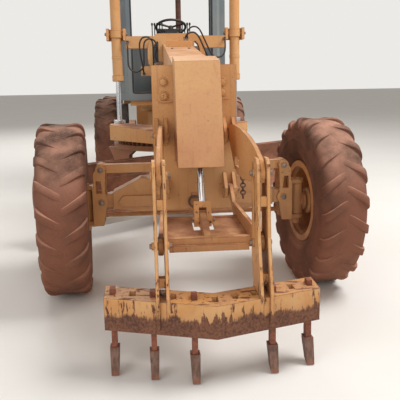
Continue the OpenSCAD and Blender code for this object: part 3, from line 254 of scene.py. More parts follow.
def bolt_head():
    """A hexagon head with a chamfer, on a washer; one unit is its radius over the corners."""
    drop_selection()
    bpy.ops.mesh.primitive_cylinder_add(vertices=6, radius=1, depth=0.7, location=(0, 0, 0.5))
    head = bpy.context.object
    settle(head)
    edit(head, "FACE")
    bpy.ops.mesh.select_all(action="DESELECT")
    bpy.ops.object.mode_set(mode="OBJECT")
    for face in head.data.polygons:
        face.select = face.normal.z > 0.9
    bpy.ops.object.mode_set(mode="EDIT")
    bpy.ops.mesh.inset(thickness=0.12)
    bpy.ops.transform.translate(value=(0, 0, 0.08))
    bpy.ops.object.mode_set(mode="OBJECT")
    washer = turned("washer", [(0, 0.3), (0, 1.35), (0.1, 1.35), (0.17, 1.25), (0.17, 0.3)], 24,
                    UPRIGHT)
    return joined("bolt_head", [head, washer])


def bolts(name, places, size):
    """Bolt heads at (place, direction) pairs, joined to one piece."""
    heads = spread(bolt_head(), [facing(place, direction, size, 0.7 * number)
                                 for number, (place, direction) in enumerate(places)])
    return smooth(joined(name, heads))


def curve_through(knots, count=36):
    """Points of a smooth curve through the knots, evenly split between them."""
    knots = [Vector(knot) for knot in knots]
    ends = [2 * knots[0] - knots[1]] + knots + [2 * knots[-1] - knots[-2]]
    per = max(2, count // (len(knots) - 1))
    points = []
    for a, b, c, d in zip(ends, ends[1:], ends[2:], ends[3:]):
        for step in range(per):
            t = step / per
            points.append(0.5 * ((2 * b) + (c - a) * t + (2 * a - 5 * b + 4 * c - d) * t * t
                                 + (3 * b - a - 3 * c + d) * t ** 3))
    return points + [knots[-1]]


def hose_line(name, points, diameter):
    """A round hose along the points."""
    data = bpy.data.curves.new(name, "CURVE")
    data.dimensions = "3D"
    data.bevel_depth = diameter / 2
    data.bevel_resolution = 3
    data.use_fill_caps = True
    spline = data.splines.new("POLY")
    spline.points.add(len(points) - 1)
    for knot, point in zip(spline.points, points):
        knot.co = (*point, 1)
    piece = bpy.data.objects.new(name, data)
    bpy.context.collection.objects.link(piece)
    return piece


def as_mesh(line):
    """A hose line made a smooth mesh."""
    take(line)
    bpy.ops.object.convert(target="MESH")
    return smooth(bpy.context.object, 60)


def bead(name, corners, diameter, soft=0.03):
    """A round bead all the way round a frame's corners, as a rubber seal."""
    points = []
    for number, corner in enumerate(corners):
        corner = Vector(corner)
        before = (Vector(corners[number - 1]) - corner).normalized()
        after = (Vector(corners[(number + 1) % len(corners)]) - corner).normalized()
        points += [corner + before * soft * (1 - t / 4) ** 2 + after * soft * (t / 4) ** 2
                   for t in range(5)]
    piece = hose_line(name, points, diameter)
    piece.data.splines[0].use_cyclic_u = True
    return as_mesh(piece)


def rod(name, knots, diameter):
    """A bent round bar through the knots."""
    return as_mesh(hose_line(name, curve_through(knots, 20), diameter))


TREES = {}


def strike(node, start, direction):
    """Where a ray first meets a CAD node, and which way the surface looks there."""
    if node not in TREES:
        mesh = NODES[node].data
        TREES[node] = BVHTree.FromPolygons([v.co.copy() for v in mesh.vertices],
                                           [tuple(p.vertices) for p in mesh.polygons])
    place, normal, _, _ = TREES[node].ray_cast(Vector(start), Vector(direction).normalized())
    if place is None:
        raise RuntimeError(f"{node} isn't met from {tuple(start)}")
    return place, normal


def length_of(points):
    """Length of a chain of points."""
    return sum((b - a).length for a, b in zip(points, points[1:]))


# ---------------------------------------------------------------- material helpers


class Wire:
    """One output of a node; plain arithmetic on it adds Math nodes."""

    def __init__(self, board, socket):
        self.board = board
        self.socket = socket

    def maths(self, operation, *values):
        """A Math node on the values."""
        return self.board.node("ShaderNodeMath", {"operation": operation}, dict(enumerate(values)))

    def __add__(self, other):
        return self.maths("ADD", self, other)

    def __sub__(self, other):
        return self.maths("SUBTRACT", self, other)

    def __rsub__(self, other):
        return self.maths("SUBTRACT", other, self)

    def __mul__(self, other):
        return self.maths("MULTIPLY", self, other)

    def __abs__(self):
        return self.maths("ABSOLUTE", self)

    __radd__ = __add__
    __rmul__ = __mul__

    def most(self, other):
        """The larger of two values."""
        return self.maths("MAXIMUM", self, other)

    def rise(self, low, high):
        """0 below low and 1 above high, smoothly; the other way round where low is larger."""
        return self.board.node(
            "ShaderNodeMapRange", {"interpolation_type": "SMOOTHSTEP"},
            {"Value": self, "From Min": low, "From Max": high})


class Board:
    """A tree that nodes are added to."""

    def __init__(self, tree):
        self.tree = tree

    def node(self, kind, settings=None, values=None, out=0):
        """Any node: its settings are set first, then its sockets get values or links."""
        node = self.tree.nodes.new(kind)
        for key, value in (settings or {}).items():
            setattr(node, key, value)
        for key, value in (values or {}).items():
            self.feed(node.inputs[key], value)
        return Wire(self, node.outputs[out])

    def feed(self, socket, value):
        """A socket gets a value, or a link where the value is a wire."""
        if isinstance(value, Wire):
            self.tree.links.new(value.socket, socket)
        else:
            socket.default_value = value


class Finish(Board):
    """A material in the making, with a Principled shader."""

    def __init__(self, name, slot):
        self.name = name
        self.slot = slot
        self.material = bpy.data.materials.new(name)
        self.material.use_nodes = True
        super().__init__(self.material.node_tree)
        self.shader = self.tree.nodes["Principled BSDF"]
        self.place = self.node("ShaderNodeTexCoord", out="Object")
        self.x, self.y, self.z = self.axes(self.place)

    def axes(self, vector):
        """The three numbers of a vector."""
        node = self.node("ShaderNodeSeparateXYZ", values={0: vector}).socket.node
        return [Wire(self, node.outputs[axis]) for axis in "XYZ"]

    def noise(self, scale, detail, stretch=(1, 1, 1), rough=0.55, shift=0.0):
        """Cloudy noise on the object's own coordinates, 0 to 1."""
        lay = self.node("ShaderNodeMapping", values={
            "Vector": self.place, "Scale": stretch, "Location": (shift, shift * 0.7, shift * 1.3)})
        return self.node("ShaderNodeTexNoise", values={
            "Vector": lay, "Scale": scale, "Detail": detail, "Roughness": rough})

    def cell_edges(self, scale):
        """Distance from the edges of a pattern of cells."""
        return self.node("ShaderNodeTexVoronoi", {"feature": "DISTANCE_TO_EDGE"},
                         {"Vector": self.place, "Scale": scale}, "Distance")

    def waves(self, axis, scale):
        """Bands across an axis, 0 to 1."""
        return self.node("ShaderNodeTexWave", {"bands_direction": axis},
                         {"Vector": self.place, "Scale": scale})

    def mix(self, first, second, factor):
        """Two colours mixed by a factor."""
        return self.node("ShaderNodeMix", {"data_type": "RGBA"},
                         {0: factor, 6: first, 7: second}, 2)

    def facing_up(self):
        """How much the surface faces up, from the piece's own normals."""
        return self.axes(self.node("ShaderNodeTexCoord", out="Normal"))[2]

    def edges(self):
        """1 on sharp outer edges, from a rounded normal."""
        rounded = self.node("ShaderNodeBevel", {"samples": 4}, {"Radius": 0.007})
        normal = self.node("ShaderNodeNewGeometry", out="Normal")
        alike = self.node("ShaderNodeVectorMath", {"operation": "DOT_PRODUCT"},
                          {0: rounded, 1: normal}, "Value")
        return alike.rise(0.985, 0.85)

    def bump(self, height, distance, strength):
        """Relief from a height wire."""
        self.feed(self.shader.inputs["Normal"], self.node("ShaderNodeBump", values={
            "Height": height, "Distance": distance, "Strength": strength}))

    def done(self, **sockets):
        """Sets the shader's sockets, by value or wire."""
        for key, value in sockets.items():
            name = key.replace("_", " ").title().replace("Ior", "IOR")
            self.feed(self.shader.inputs[name], value)
        return self


RUST = ink(96, 58, 40)
RUST_LIGHT = ink(140, 82, 50)


def inside(f, low, high):
    """1 inside a box of the part's frame."""
    mask = 1.0
    for wire, start, end in zip((f.x, f.y, f.z), low, high):
        mask = wire.rise(start - 0.001, start + 0.001) * wire.rise(end + 0.001, end - 0.001) * mask
    return mask


def painted_steel(name, slot, colour, faded, soil, dust=0.5, chips=0.4, low_dirt=0.8, wear=0.6,
                  upper=None, iron=()):
    """Sun-faded enamel with chips down to rust, rubbed edges, run-down dirt and soil dust.

    Above a height the colours can be others, and boxes can hold bare iron."""
    f = Finish(name, slot)
    if upper:
        height, other, other_faded = upper
        above = f.z.rise(height - 0.002, height + 0.002)
        colour, faded = f.mix(colour, other, above), f.mix(faded, other_faded, above)
    patches = f.noise(1.1, 3)
    clouds = f.noise(6, 6, shift=3)
    grain = f.noise(60, 4, shift=9)
    runs = f.noise(22, 3, stretch=(1, 1, 0.06), shift=5)
    specks = f.noise(38, 6, rough=0.62, shift=17)
    colour = f.mix(colour, faded, patches.rise(0.35, 0.7))
    colour = f.mix(colour, RUST_LIGHT, runs.rise(0.56, 0.78) * 0.28)
    colour = f.mix(colour, faded, clouds.rise(0.5, 0.72) * 0.35)
    chipped = (specks + clouds * 0.25).rise(0.86 - 0.11 * chips, 0.88 - 0.11 * chips)
    rubbed = (f.edges() * (clouds + grain * 0.5)).rise(0.62 - 0.3 * wear, 0.78 - 0.2 * wear)
    bare = chipped.most(rubbed)
    halo = (specks + clouds * 0.25).rise(0.80 - 0.11 * chips, 0.88 - 0.11 * chips)
    colour = f.mix(colour, RUST_LIGHT, halo * 0.4)
    colour = f.mix(colour, f.mix(RUST, RUST_LIGHT, grain.rise(0.35, 0.7)), bare)
    settled = f.facing_up().rise(0.35, 0.95) * clouds.rise(0.25, 0.65)
    low = f.z.rise(1.35, 0.15) * (patches + clouds).rise(0.72, 1.15) * low_dirt
    soiled = (settled * dust).most(low * 0.85).most(grain.rise(0.45, 0.8) * 0.22)
    for low_corner, high_corner in iron:
        colour = f.mix(colour, f.mix(ink(54, 47, 44), RUST, grain.rise(0.4, 0.7)),
                       inside(f, low_corner, high_corner))
    colour = f.mix(colour, soil, soiled)
    rough = 0.48 + bare * 0.35 + soiled * 0.4
    f.bump(grain * 0.35 + clouds * 0.4 - bare * 0.9 + soiled * 0.3, 0.0012, 0.55)
    return f.done(base_color=colour, roughness=rough, specular_ior_level=0.42)


def worn_block_steel(colour, faded, soil):
    """The tool block: enamel scratched away in upright strokes, its lower edge bare."""
    f = Finish("block_enamel", "paint")
    strokes = f.noise(34, 5, stretch=(1, 1, 0.22), shift=2, rough=0.66)
    clouds = f.noise(7, 5, shift=4)
    grain = f.noise(70, 4, shift=6)
    lower = f.z.rise(0.49, 0.33)
    enamel = f.mix(f.mix(colour, faded, clouds.rise(0.35, 0.68)), RUST_LIGHT, lower * 0.28)
    ragged = f.z + clouds * 0.11 - strokes * 0.12 + abs(f.x) * 0.03
    low_edge = ragged.rise(0.408, 0.382)
    worn_middle = abs(f.x).rise(0.16, 0.03) * lower.rise(0.1, 0.9)
    strips = (strokes + lower * 0.09 + worn_middle * 0.14).rise(0.590, 0.615)
    bare = low_edge.most(strips)
    bare = bare.most((f.edges() * (clouds + 0.3)).rise(0.3, 0.5))
    top_scuffs = (f.facing_up().rise(0.6, 0.9) * f.noise(24, 5, stretch=(0.35, 1, 1), shift=8)
                  ).rise(0.56, 0.62) * f.z.rise(0.9, 0.6)
    bare = bare.most(top_scuffs)
    metal = f.mix(ink(80, 50, 38), ink(124, 80, 58), (grain + clouds * 0.6).rise(0.6, 1.0))
    colour = f.mix(f.mix(enamel, RUST_LIGHT, strokes.rise(0.52, 0.6) * 0.4), metal, bare)
    settled = f.facing_up().rise(0.4, 0.95) * clouds.rise(0.4, 0.7) * 0.45
    colour = f.mix(colour, soil, settled)
    f.bump(grain * 0.4 - bare * 1.0 + clouds * 0.4, 0.0016, 0.7)
    return f.done(base_color=colour, roughness=0.5 + bare * 0.25, specular_ior_level=0.4)


def tine_steel(soil):
    """Shanks rusty above, their worn points grey."""
    f = Finish("tine_steel", "worn_steel")
    grain = f.noise(55, 5, shift=1)
    clouds = f.noise(12, 4, shift=2)
    scratches = f.noise(60, 3, stretch=(1, 1, 0.08), shift=3)
    shank = f.mix(ink(108, 58, 42), ink(146, 86, 62), (grain * 0.6 + clouds * 0.6).rise(0.45, 0.75))
    point = f.mix(ink(100, 74, 62), ink(138, 106, 92), scratches.rise(0.35, 0.7))
    point = f.mix(point, ink(122, 84, 66), clouds.rise(0.45, 0.7) * 0.75)
    grey = (f.z + clouds * 0.02).rise(0.168, 0.158)
    colour = f.mix(shank, point, grey)
    colour = f.mix(colour, soil, (f.z + clouds * 0.05).rise(0.075, 0.02) * 0.7)
    f.bump(grain * 0.6 + scratches * 0.3, 0.001, 0.6)
    return f.done(base_color=colour, metallic=grey * 0.3, roughness=0.62 + grain * 0.2)


def earth_steel(name, soil, base, bright, edge_z):
    """Steel that works in the ground: scoured, rusty, caked with soil, its low edge bright."""
    f = Finish(name, "worn_steel")
    turned_place = f.node("ShaderNodeMapping", values={
        "Vector": f.place, "Rotation": (0, 0, math.radians(-35)), "Scale": (0.10, 1, 1)})
    scour = f.node("ShaderNodeTexNoise", values={
        "Vector": turned_place, "Scale": 60.0, "Detail": 5.0})
    clouds = f.noise(5, 6, shift=2)
    grain = f.noise(60, 4, shift=4)
    colour = f.mix(base, RUST_LIGHT, (clouds + scour * 0.5).rise(0.6, 0.95))
    polished = (f.z - scour * 0.04).rise(edge_z + 0.03, edge_z - 0.02)
    polished = polished.most((f.edges() * (scour + clouds)).rise(0.5, 0.8))
    colour = f.mix(colour, bright, polished)
    caked = (clouds + grain * 0.3).rise(0.55, 0.8) * (1 - polished * 0.8)
    colour = f.mix(colour, soil, caked * 0.75)
    f.bump(scour * 0.4 + grain * 0.3 + caked * 0.5, 0.0015, 0.6)
    return f.done(base_color=colour, metallic=polished * 0.7, roughness=0.78 - polished * 0.35)


def tyre_rubber(soil):
    """Weathered rubber under a skin of red soil, thickest low down."""
    f = Finish("tyre_rubber", "tyre")
    clouds = f.noise(4.5, 6, shift=1)
    big = f.noise(1.6, 3, shift=7)
    grain = f.noise(90, 4, shift=2)
    cracks = f.cell_edges(48).rise(0.05, 0.0)
    rubber = f.mix(ink(82, 60, 50), ink(108, 80, 68), (clouds + grain * 0.3).rise(0.5, 0.85))
    low = f.z.rise(1.3, 0.05)
    soiled = (clouds * 0.9 + big * 0.5 + low * 0.22).rise(0.5, 1.0)
    soiled = (soiled * 0.8).most(grain.rise(0.5, 0.75) * 0.5)
    # painted light: the soil skin is made much lighter where it faces up, as if lit from above
    light = f.mix(ink(130, 82, 64), ink(204, 152, 128), f.facing_up().rise(0.15, 0.8) * 0.9)
    light = f.mix(light, soil, low * 0.5)
    colour = f.mix(rubber, light, soiled)
    colour = f.mix(colour, ink(48, 42, 40), cracks * 0.25)
    f.bump(grain * 0.5 + clouds * 0.6 - cracks * 0.3, 0.002, 0.6)
    return f.done(base_color=colour, roughness=0.86 + grain * 0.1, specular_ior_level=0.25)


def rod_chrome(name, foot=None):
    """Hard chrome with fine rub marks along the stroke and a thin haze of dust.

    A foot is a place, a direction up the rod, a height and a colour: the rod is painted below."""
    f = Finish(name, "chrome")
    rubs = f.noise(120, 3, stretch=(1, 1, 0.03))
    clouds = f.noise(9, 4, shift=3)
    colour = f.mix(ink(214, 220, 226), ink(176, 160, 146), clouds.rise(0.5, 0.8) * 0.6)
    rough = 0.14 + rubs * 0.1 + clouds.rise(0.5, 0.8) * 0.3
    metal = 1.0
    if foot:
        place, up, height, enamel = foot
        reach = (f.y - place.y) * up.y + (f.z - place.z) * up.z
        painted = reach.rise(height + 0.001, height - 0.001)
        chips = f.noise(34, 6, rough=0.65, shift=8)
        coat = f.mix(enamel, RUST, chips.rise(0.56, 0.6))
        colour = f.mix(colour, coat, painted)
        rough = rough * (1 - painted) + painted * 0.6
        metal = 1 - painted
    f.bump(rubs, 0.0002, 0.3)
    return f.done(base_color=colour, metallic=metal, roughness=rough)


def dusty_dark(name, slot, colour, soil, rough, metal=0.0, dust=0.5):
    """Black rubber, plastic or iron with dust on what faces up."""
    f = Finish(name, slot)
    clouds = f.noise(9, 5, shift=2)
    grain = f.noise(140, 3, shift=5)
    greyed = tuple(min(1.0, part * 2.1) for part in colour[:3]) + (1.0,)
    worn = f.mix(colour, greyed, clouds.rise(0.4, 0.75))
    settled = f.facing_up().rise(0.1, 0.95) * clouds.rise(0.3, 0.65)
    soiled = settled.most(grain.rise(0.6, 0.8) * 0.5) * dust
    f.bump(grain * 0.6 + clouds * 0.4, 0.0008, 0.5)
    return f.done(base_color=f.mix(worn, soil, soiled), metallic=metal,
                  roughness=rough + soiled * 0.3, specular_ior_level=0.35)


def rusty_pipe():
    """The exhaust and other hot steel: brown scale, darker where the heat was."""
    f = Finish("rusty_pipe", "rusty")
    clouds = f.noise(8, 6, shift=3)
    grain = f.noise(70, 4, shift=5)
    colour = f.mix(ink(70, 52, 48), ink(128, 82, 58), (clouds + grain * 0.4).rise(0.5, 0.9))
    colour = f.mix(colour, ink(44, 40, 42), f.z.rise(2.6, 3.05) * 0.6)
    f.bump(grain + clouds * 0.5, 0.0012, 0.7)
    return f.done(base_color=colour, metallic=0.25, roughness=0.82)


def lamp_lens():
    """Ribbed clear glass over a mirror bowl; its near-white colour is a painted reflection of the
    bowl.
    """
    f = Finish("lamp_lens", "lamp")
    ribs = f.waves("X", 28.0)
    haze = f.noise(14, 4, shift=2)
    # painted reflection: the near-white colour stands for the lit bowl behind the glass; the brown
    # tone is dust haze
    colour = f.mix(ink(222, 224, 220), ink(186, 158, 130), haze.rise(0.45, 0.75) * 0.5)
    f.bump(ribs, 0.0015, 0.6)
    return f.done(base_color=colour, roughness=0.12 + haze * 0.15, coat_weight=0.6)


def seat_cloth():
    """Black woven seat cloth, greyed by the sun."""
    f = Finish("seat_cloth", "vinyl")
    warp, weft = f.waves("X", 160.0), f.waves("Z", 160.0)
    clouds = f.noise(7, 4, shift=2)
    colour = f.mix(ink(46, 45, 47), ink(82, 78, 74), clouds.rise(0.4, 0.75))
    colour = f.mix(colour, ink(110, 88, 72), f.facing_up().rise(0.5, 1.0) * clouds * 0.5)
    f.bump(warp * 0.5 + weft * 0.5, 0.0007, 0.6)
    return f.done(base_color=colour, roughness=0.9, sheen_weight=0.3)


FINISHES = {}


def wear_finish(piece, finish):
    """The piece takes one finish."""
    piece.data.materials.clear()
    piece.data.materials.append(finish.material)
    "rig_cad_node" not in piece
    return piece


def mount(piece, body, finish):
    """A finished piece gets its finish and rides on its body."""
    wear_finish(piece, FINISHES[finish])
    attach(piece, body)
    return piece


# ---------------------------------------------------------------- settings


class GraderFinishes(bpy.types.PropertyGroup):
    """Colours of the finishes."""
    enamel: bpy.props.FloatVectorProperty(
        name="Enamel", description="Ochre enamel", subtype="COLOR", size=4, min=0, max=1,
        default=ink(198, 141, 84))
    faded: bpy.props.FloatVectorProperty(
        name="Faded enamel", description="The enamel where the sun took it", subtype="COLOR",
        size=4, min=0, max=1, default=ink(208, 160, 108))
    soil: bpy.props.FloatVectorProperty(
        name="Soil", description="Red dust of the site", subtype="COLOR", size=4, min=0, max=1,
        default=ink(148, 96, 72))
    pillar: bpy.props.FloatVectorProperty(
        name="Cab grey", description="Grey-blue of the cab's posts", subtype="COLOR", size=4,
        min=0, max=1, default=ink(96, 108, 114))


class GraderSizes(bpy.types.PropertyGroup):
    """Sizes of the fittings."""
    lugs: bpy.props.IntProperty(
        name="Lugs", description="Tread lugs on each side of a tyre", default=20, min=8, max=40)
    hose: bpy.props.FloatProperty(
        name="Hose", description="Diameter of the hydraulic hoses", default=0.018,
        unit="LENGTH", min=0.01, max=0.04)
    nuts: bpy.props.IntProperty(
        name="Wheel nuts", description="Nuts on each wheel", default=10, min=5, max=16)


# ---------------------------------------------------------------- places on the machine


# the blade stands across the machine at this angle, shifted along itself
BLADE_YAW = math.radians(35)
BLADE_SHIFT = -0.1516
# y of the scarifier links' pins, and the heights of the upper and the lower one
LINK_REAR = (-0.42, 1.29, 0.88)
LINK_FRONT = (-1.42, 1.16, 0.75)
# x of the leaning pins, and the heights of the lower and the upper one
LEAN_PIN = (0.73, 0.74, 1.00)
# the right lift cylinder's pivot
LIFT = (0.68, 2.33, 2.19)
# the scarifier rod's yoke: y and height of its pin, its direction and how far up it is painted
YOKE_PIN = (-0.88, 0.765)
YOKE_UP = Vector((0, 0.41, 0.912))
YOKE_PAINT = 0.119
# y of the nose plate's face; (y, height) of the ends of the beam's top
NOSE_FACE = -0.3403
BEAM_FRONT, BEAM_REAR = (-0.295, 1.8), (2.2, 2.0697)
BEAM_RISE = (BEAM_REAR[1] - BEAM_FRONT[1]) / (BEAM_REAR[0] - BEAM_FRONT[0])
# from this height the cab is enamelled, not grey
CAB_ROOF = 3.186
# height of the hood, and x and y of the exhaust stack on it
HOOD_TOP = 2.12
STACK = (0.205, 5.60)
# new pieces lie this far off or in the surface that they touch
SKIN = 0.0002


def beam_top(y):
    """Height of the beam's sloping top."""
    return BEAM_FRONT[1] + (y - BEAM_FRONT[0]) * BEAM_RISE


# ---------------------------------------------------------------- operators


NODE_FINISHES = {
    "block_enamel": "scarifier_frame",
    "nose_enamel": "nose",
    "clean_enamel": "box_cover",
    "dirty_enamel": "drawbar tie_rod lower_link rear_axle spindle_left spindle_right",
    "cab_grey": "cab door_left door_right",
    "tine_steel": "tines",
    "blade_steel": "moldboard",
    "circle_steel": "blade_tilt circle",
    "rusty_pipe": "exhaust",
    "black_iron": "engine_block steps tie_rod_ball",
    "black_plastic": "controls lamps",
    "yoke_chrome": "scarifier_rod",
    "rod_chrome": "lift_rod_left lift_rod_right",
    "hose_rubber": "hoses",
    "seat_cloth": "seat",
}


class GRADER_OT_finishes(bpy.types.Operator):
    """Mixes every finish and puts one on each CAD node"""
    bl_idname = "grader.finishes"
    bl_label = "Finishes"

    def execute(self, context):
        look = context.scene.grader_finishes
        paint, faded, soil, pillar = (
            tuple(colour) for colour in (look.enamel, look.faded, look.soil, look.pillar))
        bare_iron = [(along(-0.07, -0.5, 0.72), along(0.04, -0.352, 0.842)),
                     (along(0.333, -0.4, 0.7), along(0.5, -0.27, 1.1))]
        yoke_foot = (along(0, *YOKE_PIN), YOKE_UP, YOKE_PAINT, paint)
        for finish in (
                painted_steel("enamel", "paint", paint, faded, soil),
                painted_steel("clean_enamel", "paint", ink(194, 141, 98), faded, soil,
                              dust=0.15, chips=0.0, low_dirt=0.0, wear=0.35),
                painted_steel("dirty_enamel", "paint", paint, faded, soil,
                              dust=0.95, chips=0.7, low_dirt=1.0, wear=0.8),
                painted_steel("cab_grey", "grey_paint", pillar, ink(124, 132, 132), soil,
                              dust=0.4, chips=0.1, low_dirt=0.2, wear=0.3,
                              upper=(CAB_ROOF, paint, faded)),
                painted_steel("nose_enamel", "paint", paint, faded, soil, iron=bare_iron),
                rod_chrome("yoke_chrome", yoke_foot),
                worn_block_steel(paint, faded, soil),
                tine_steel(soil),
                earth_steel("blade_steel", soil, ink(112, 72, 52), ink(178, 172, 164), 0.215),
                earth_steel("circle_steel", soil, ink(134, 92, 58), ink(150, 140, 128), -1.0),
                tyre_rubber(soil),
                rod_chrome("rod_chrome"),
                dusty_dark("hose_rubber", "hose", ink(40, 37, 37), soil, 0.62),
                dusty_dark("black_iron", "dark_metal", ink(58, 52, 50), soil, 0.58, 0.4),
                dusty_dark("black_plastic", "dark_metal", ink(36, 36, 38), soil, 0.5),
                dusty_dark("pin_steel", "worn_steel", ink(120, 108, 98), soil, 0.5, 0.55),
                rusty_pipe(),
                lamp_lens(),
                dusty_dark("tail_lens", "lamp", ink(128, 30, 26), soil, 0.25, dust=0.4),
                seat_cloth()):
            FINISHES[finish.name] = finish
        kinds = {node: kind for kind, nodes in NODE_FINISHES.items() for node in nodes.split()}
        for name, node in NODES.items():
            kind = kinds.get(name, "enamel")
            if name.startswith("tyre"):
                kind = "tyre_rubber"
            if name.startswith("rim"):
                kind = "dirty_enamel"
            wear_finish(node, FINISHES[kind])
        return {"FINISHED"}


def on_wheels(template, kind, finish):
    """A copy of the template, whose outboard side is +X, on each wheel."""
    places = []
    for wheel in WHEELS:
        joint = JOINTS["spin_" + wheel]
        outboard = Vector(joint["axis"]) * (-1 if "left" in wheel else 1)
        places.append(facing(joint["pos_m"], outboard, top="X"))
    pieces = spread(template, places)
    for wheel, piece in zip(WHEELS, pieces):
        piece.name = piece.data.name = kind + wheel
        mount(piece, "wheel_" + wheel, finish)
    return pieces


class GRADER_OT_tyres(bpy.types.Operator):
    """Tyres with a worn crown, deep shoulders and ringed sidewalls"""
    bl_idname = "grader.tyres"
    bl_label = "Tyres"

    def execute(self, context):
        count = context.scene.grader_sizes.lugs
        side = [(0.127, 0.306), (0.127, 0.334), (0.136, 0.340), (0.143, 0.352), (0.150, 0.362),
                (0.1525, 0.372), (0.158, 0.376), (0.166, 0.400), (0.1685, 0.404), (0.1695, 0.412),
                (0.177, 0.440), (0.182, 0.470), (0.1835, 0.500), (0.1855, 0.504), (0.1855, 0.514),
                (0.1825, 0.518), (0.182, 0.545), (0.178, 0.580), (0.171, 0.610), (0.160, 0.632),
                (0.142, 0.648), (0.115, 0.660), (0.075, 0.667), (0.035, 0.670)]
        profile = [(-x, r) for x, r in side] + [(0.0, 0.6705)] + side[::-1]
        casing = smooth(turned("casing", profile, 96), 40)
        top = [(-0.012, 0.6700), (0.03, 0.6730), (0.075, 0.6785), (0.11, 0.6825), (0.138, 0.679),
               (0.158, 0.668), (0.172, 0.650), (0.1805, 0.626), (0.1835, 0.598)]
        foot = [(0.0, 0.655), (0.03, 0.655), (0.075, 0.650), (0.105, 0.645), (0.125, 0.636),
                (0.138, 0.628), (0.148, 0.615), (0.158, 0.600), (0.170, 0.580)]
        last, slant, foot_spread = len(top) - 1, 0.60, 1.18
        drop_selection()
        bpy.ops.mesh.primitive_grid_add(x_subdivisions=last, y_subdivisions=1, size=1)
        lug = bpy.context.object
        edit(lug, "FACE")
        bpy.ops.mesh.extrude_region_move(TRANSFORM_OT_translate={"value": (0, 0, -1)})
        outwards()
        for vertex in lug.data.vertices:
            step = round((vertex.co.x + 0.5) * last)
            upper = vertex.co.z > -0.5
            x, r = top[step] if upper else foot[step]
            trail = min(max(top[step][0], 0), 0.17) * slant + max(0, step - 5) * 0.004
            half_width = (0.031 + 0.004 * step / last) * (1.0 if upper else foot_spread)
            angle = (trail + half_width * (1 if vertex.co.y > 0 else -1)) / r
            vertex.co = (x, -r * math.sin(angle), r * math.cos(angle))
        edit(lug)
        outwards()
        finish_with(lug, "BEVEL", width=0.006, segments=2, limit_method="ANGLE", angle_limit=0.7)
        smooth(lug, 50)
        flip = Matrix.Scale(-1, 4, (1, 0, 0))
        pieces = [casing]
        for number in range(count):
            turn = math.tau * number / count
            pieces.append(placed(lug, Matrix.Rotation(turn, 4, "X")))
            other = placed(lug, Matrix.Rotation(turn + math.pi / count, 4, "X") @ flip)
            other.data.flip_normals()
            pieces.append(other)
        bpy.data.objects.remove(lug)
        tyres = on_wheels(joined("tyre_template", pieces), "worn_tyre_", "tyre_rubber")
        for wheel, piece in zip(WHEELS, tyres):
            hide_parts("tyre_" + wheel)
        return {"FINISHED"}


class GRADER_OT_wheel_nuts(bpy.types.Operator):
    """Nuts round each disc, bolts on the hub cap and an inflation valve"""
    bl_idname = "grader.wheel_nuts"
    bl_label = "Wheel nuts"

    def execute(self, context):
        def circle(count, x, radius):
            turns = (Matrix.Rotation(math.tau * n / count, 3, "X") for n in range(count))
            return [(turn @ Vector((x, 0, radius)), (1, 0, 0)) for turn in turns]

        nuts = bolts("nuts", circle(context.scene.grader_sizes.nuts, 0.067, 0.166), 0.017)
        caps = bolts("caps", circle(8, 0.116, 0.066), 0.010)
        valve = turned("valve", [(0, 0.0004), (0, 0.006), (0.03, 0.006), (0.034, 0.004),
                                 (0.046, 0.004), (0.05, 0.0004)], 16,
                       Matrix.Translation((0.094, 0, 0.245)))
        ring = smooth(joined("wheel_nut_ring", [nuts, caps, valve]))
        on_wheels(ring, "wheel_nuts_", "pin_steel")
        return {"FINISHED"}


class GRADER_OT_nose_bolts(bpy.types.Operator):
    """Big bolts and bars on the nose plate, small bolts on the beam's top, its lip"""
    bl_idname = "grader.nose_bolts"
    bl_label = "Nose bolts"

    def execute(self, context):
        spots = ((-0.227, 1.670), (-0.222, 1.570), (0.204, 1.663), (0.203, 1.591))
        heads = [(place, (0, -1, 0)) for place in across(NOSE_FACE, spots)]
        mount(bolts("nose_bolt_heads", heads, 0.027), "front_frame", "enamel")
        bars = [block("bar", along(x - 0.05, NOSE_FACE - 0.014, z - 0.006),
                      along(x + 0.05, NOSE_FACE + 0.001, z + 0.006), 0.003)
                for x, z in ((-0.215, 1.528), (0.205, 1.545))]
        mount(joined("nose_bars", bars), "front_frame", "enamel")
        tops = [(along(x, y, beam_top(y) + SKIN), (0, -BEAM_RISE, 1))
                for y in (1.35, -0.05) for x in (-0.085, 0.085)]
        mount(bolts("beam_top_bolts", tops, 0.013), "front_frame", "pin_steel")
        y, half, narrow = 1.72, 0.135, 0.12
        low = beam_top(y)
        shoulder, high = low + 0.045, low + 0.06
        lip = slab("beam_lip", across(y, ((-half, low), (half, low), (half, shoulder),
                                          (narrow, high), (-narrow, high), (-half, shoulder))),
                   (0, 0.02, 0), 0.003)
        mount(lip, "front_frame", "enamel")
        return {"FINISHED"}


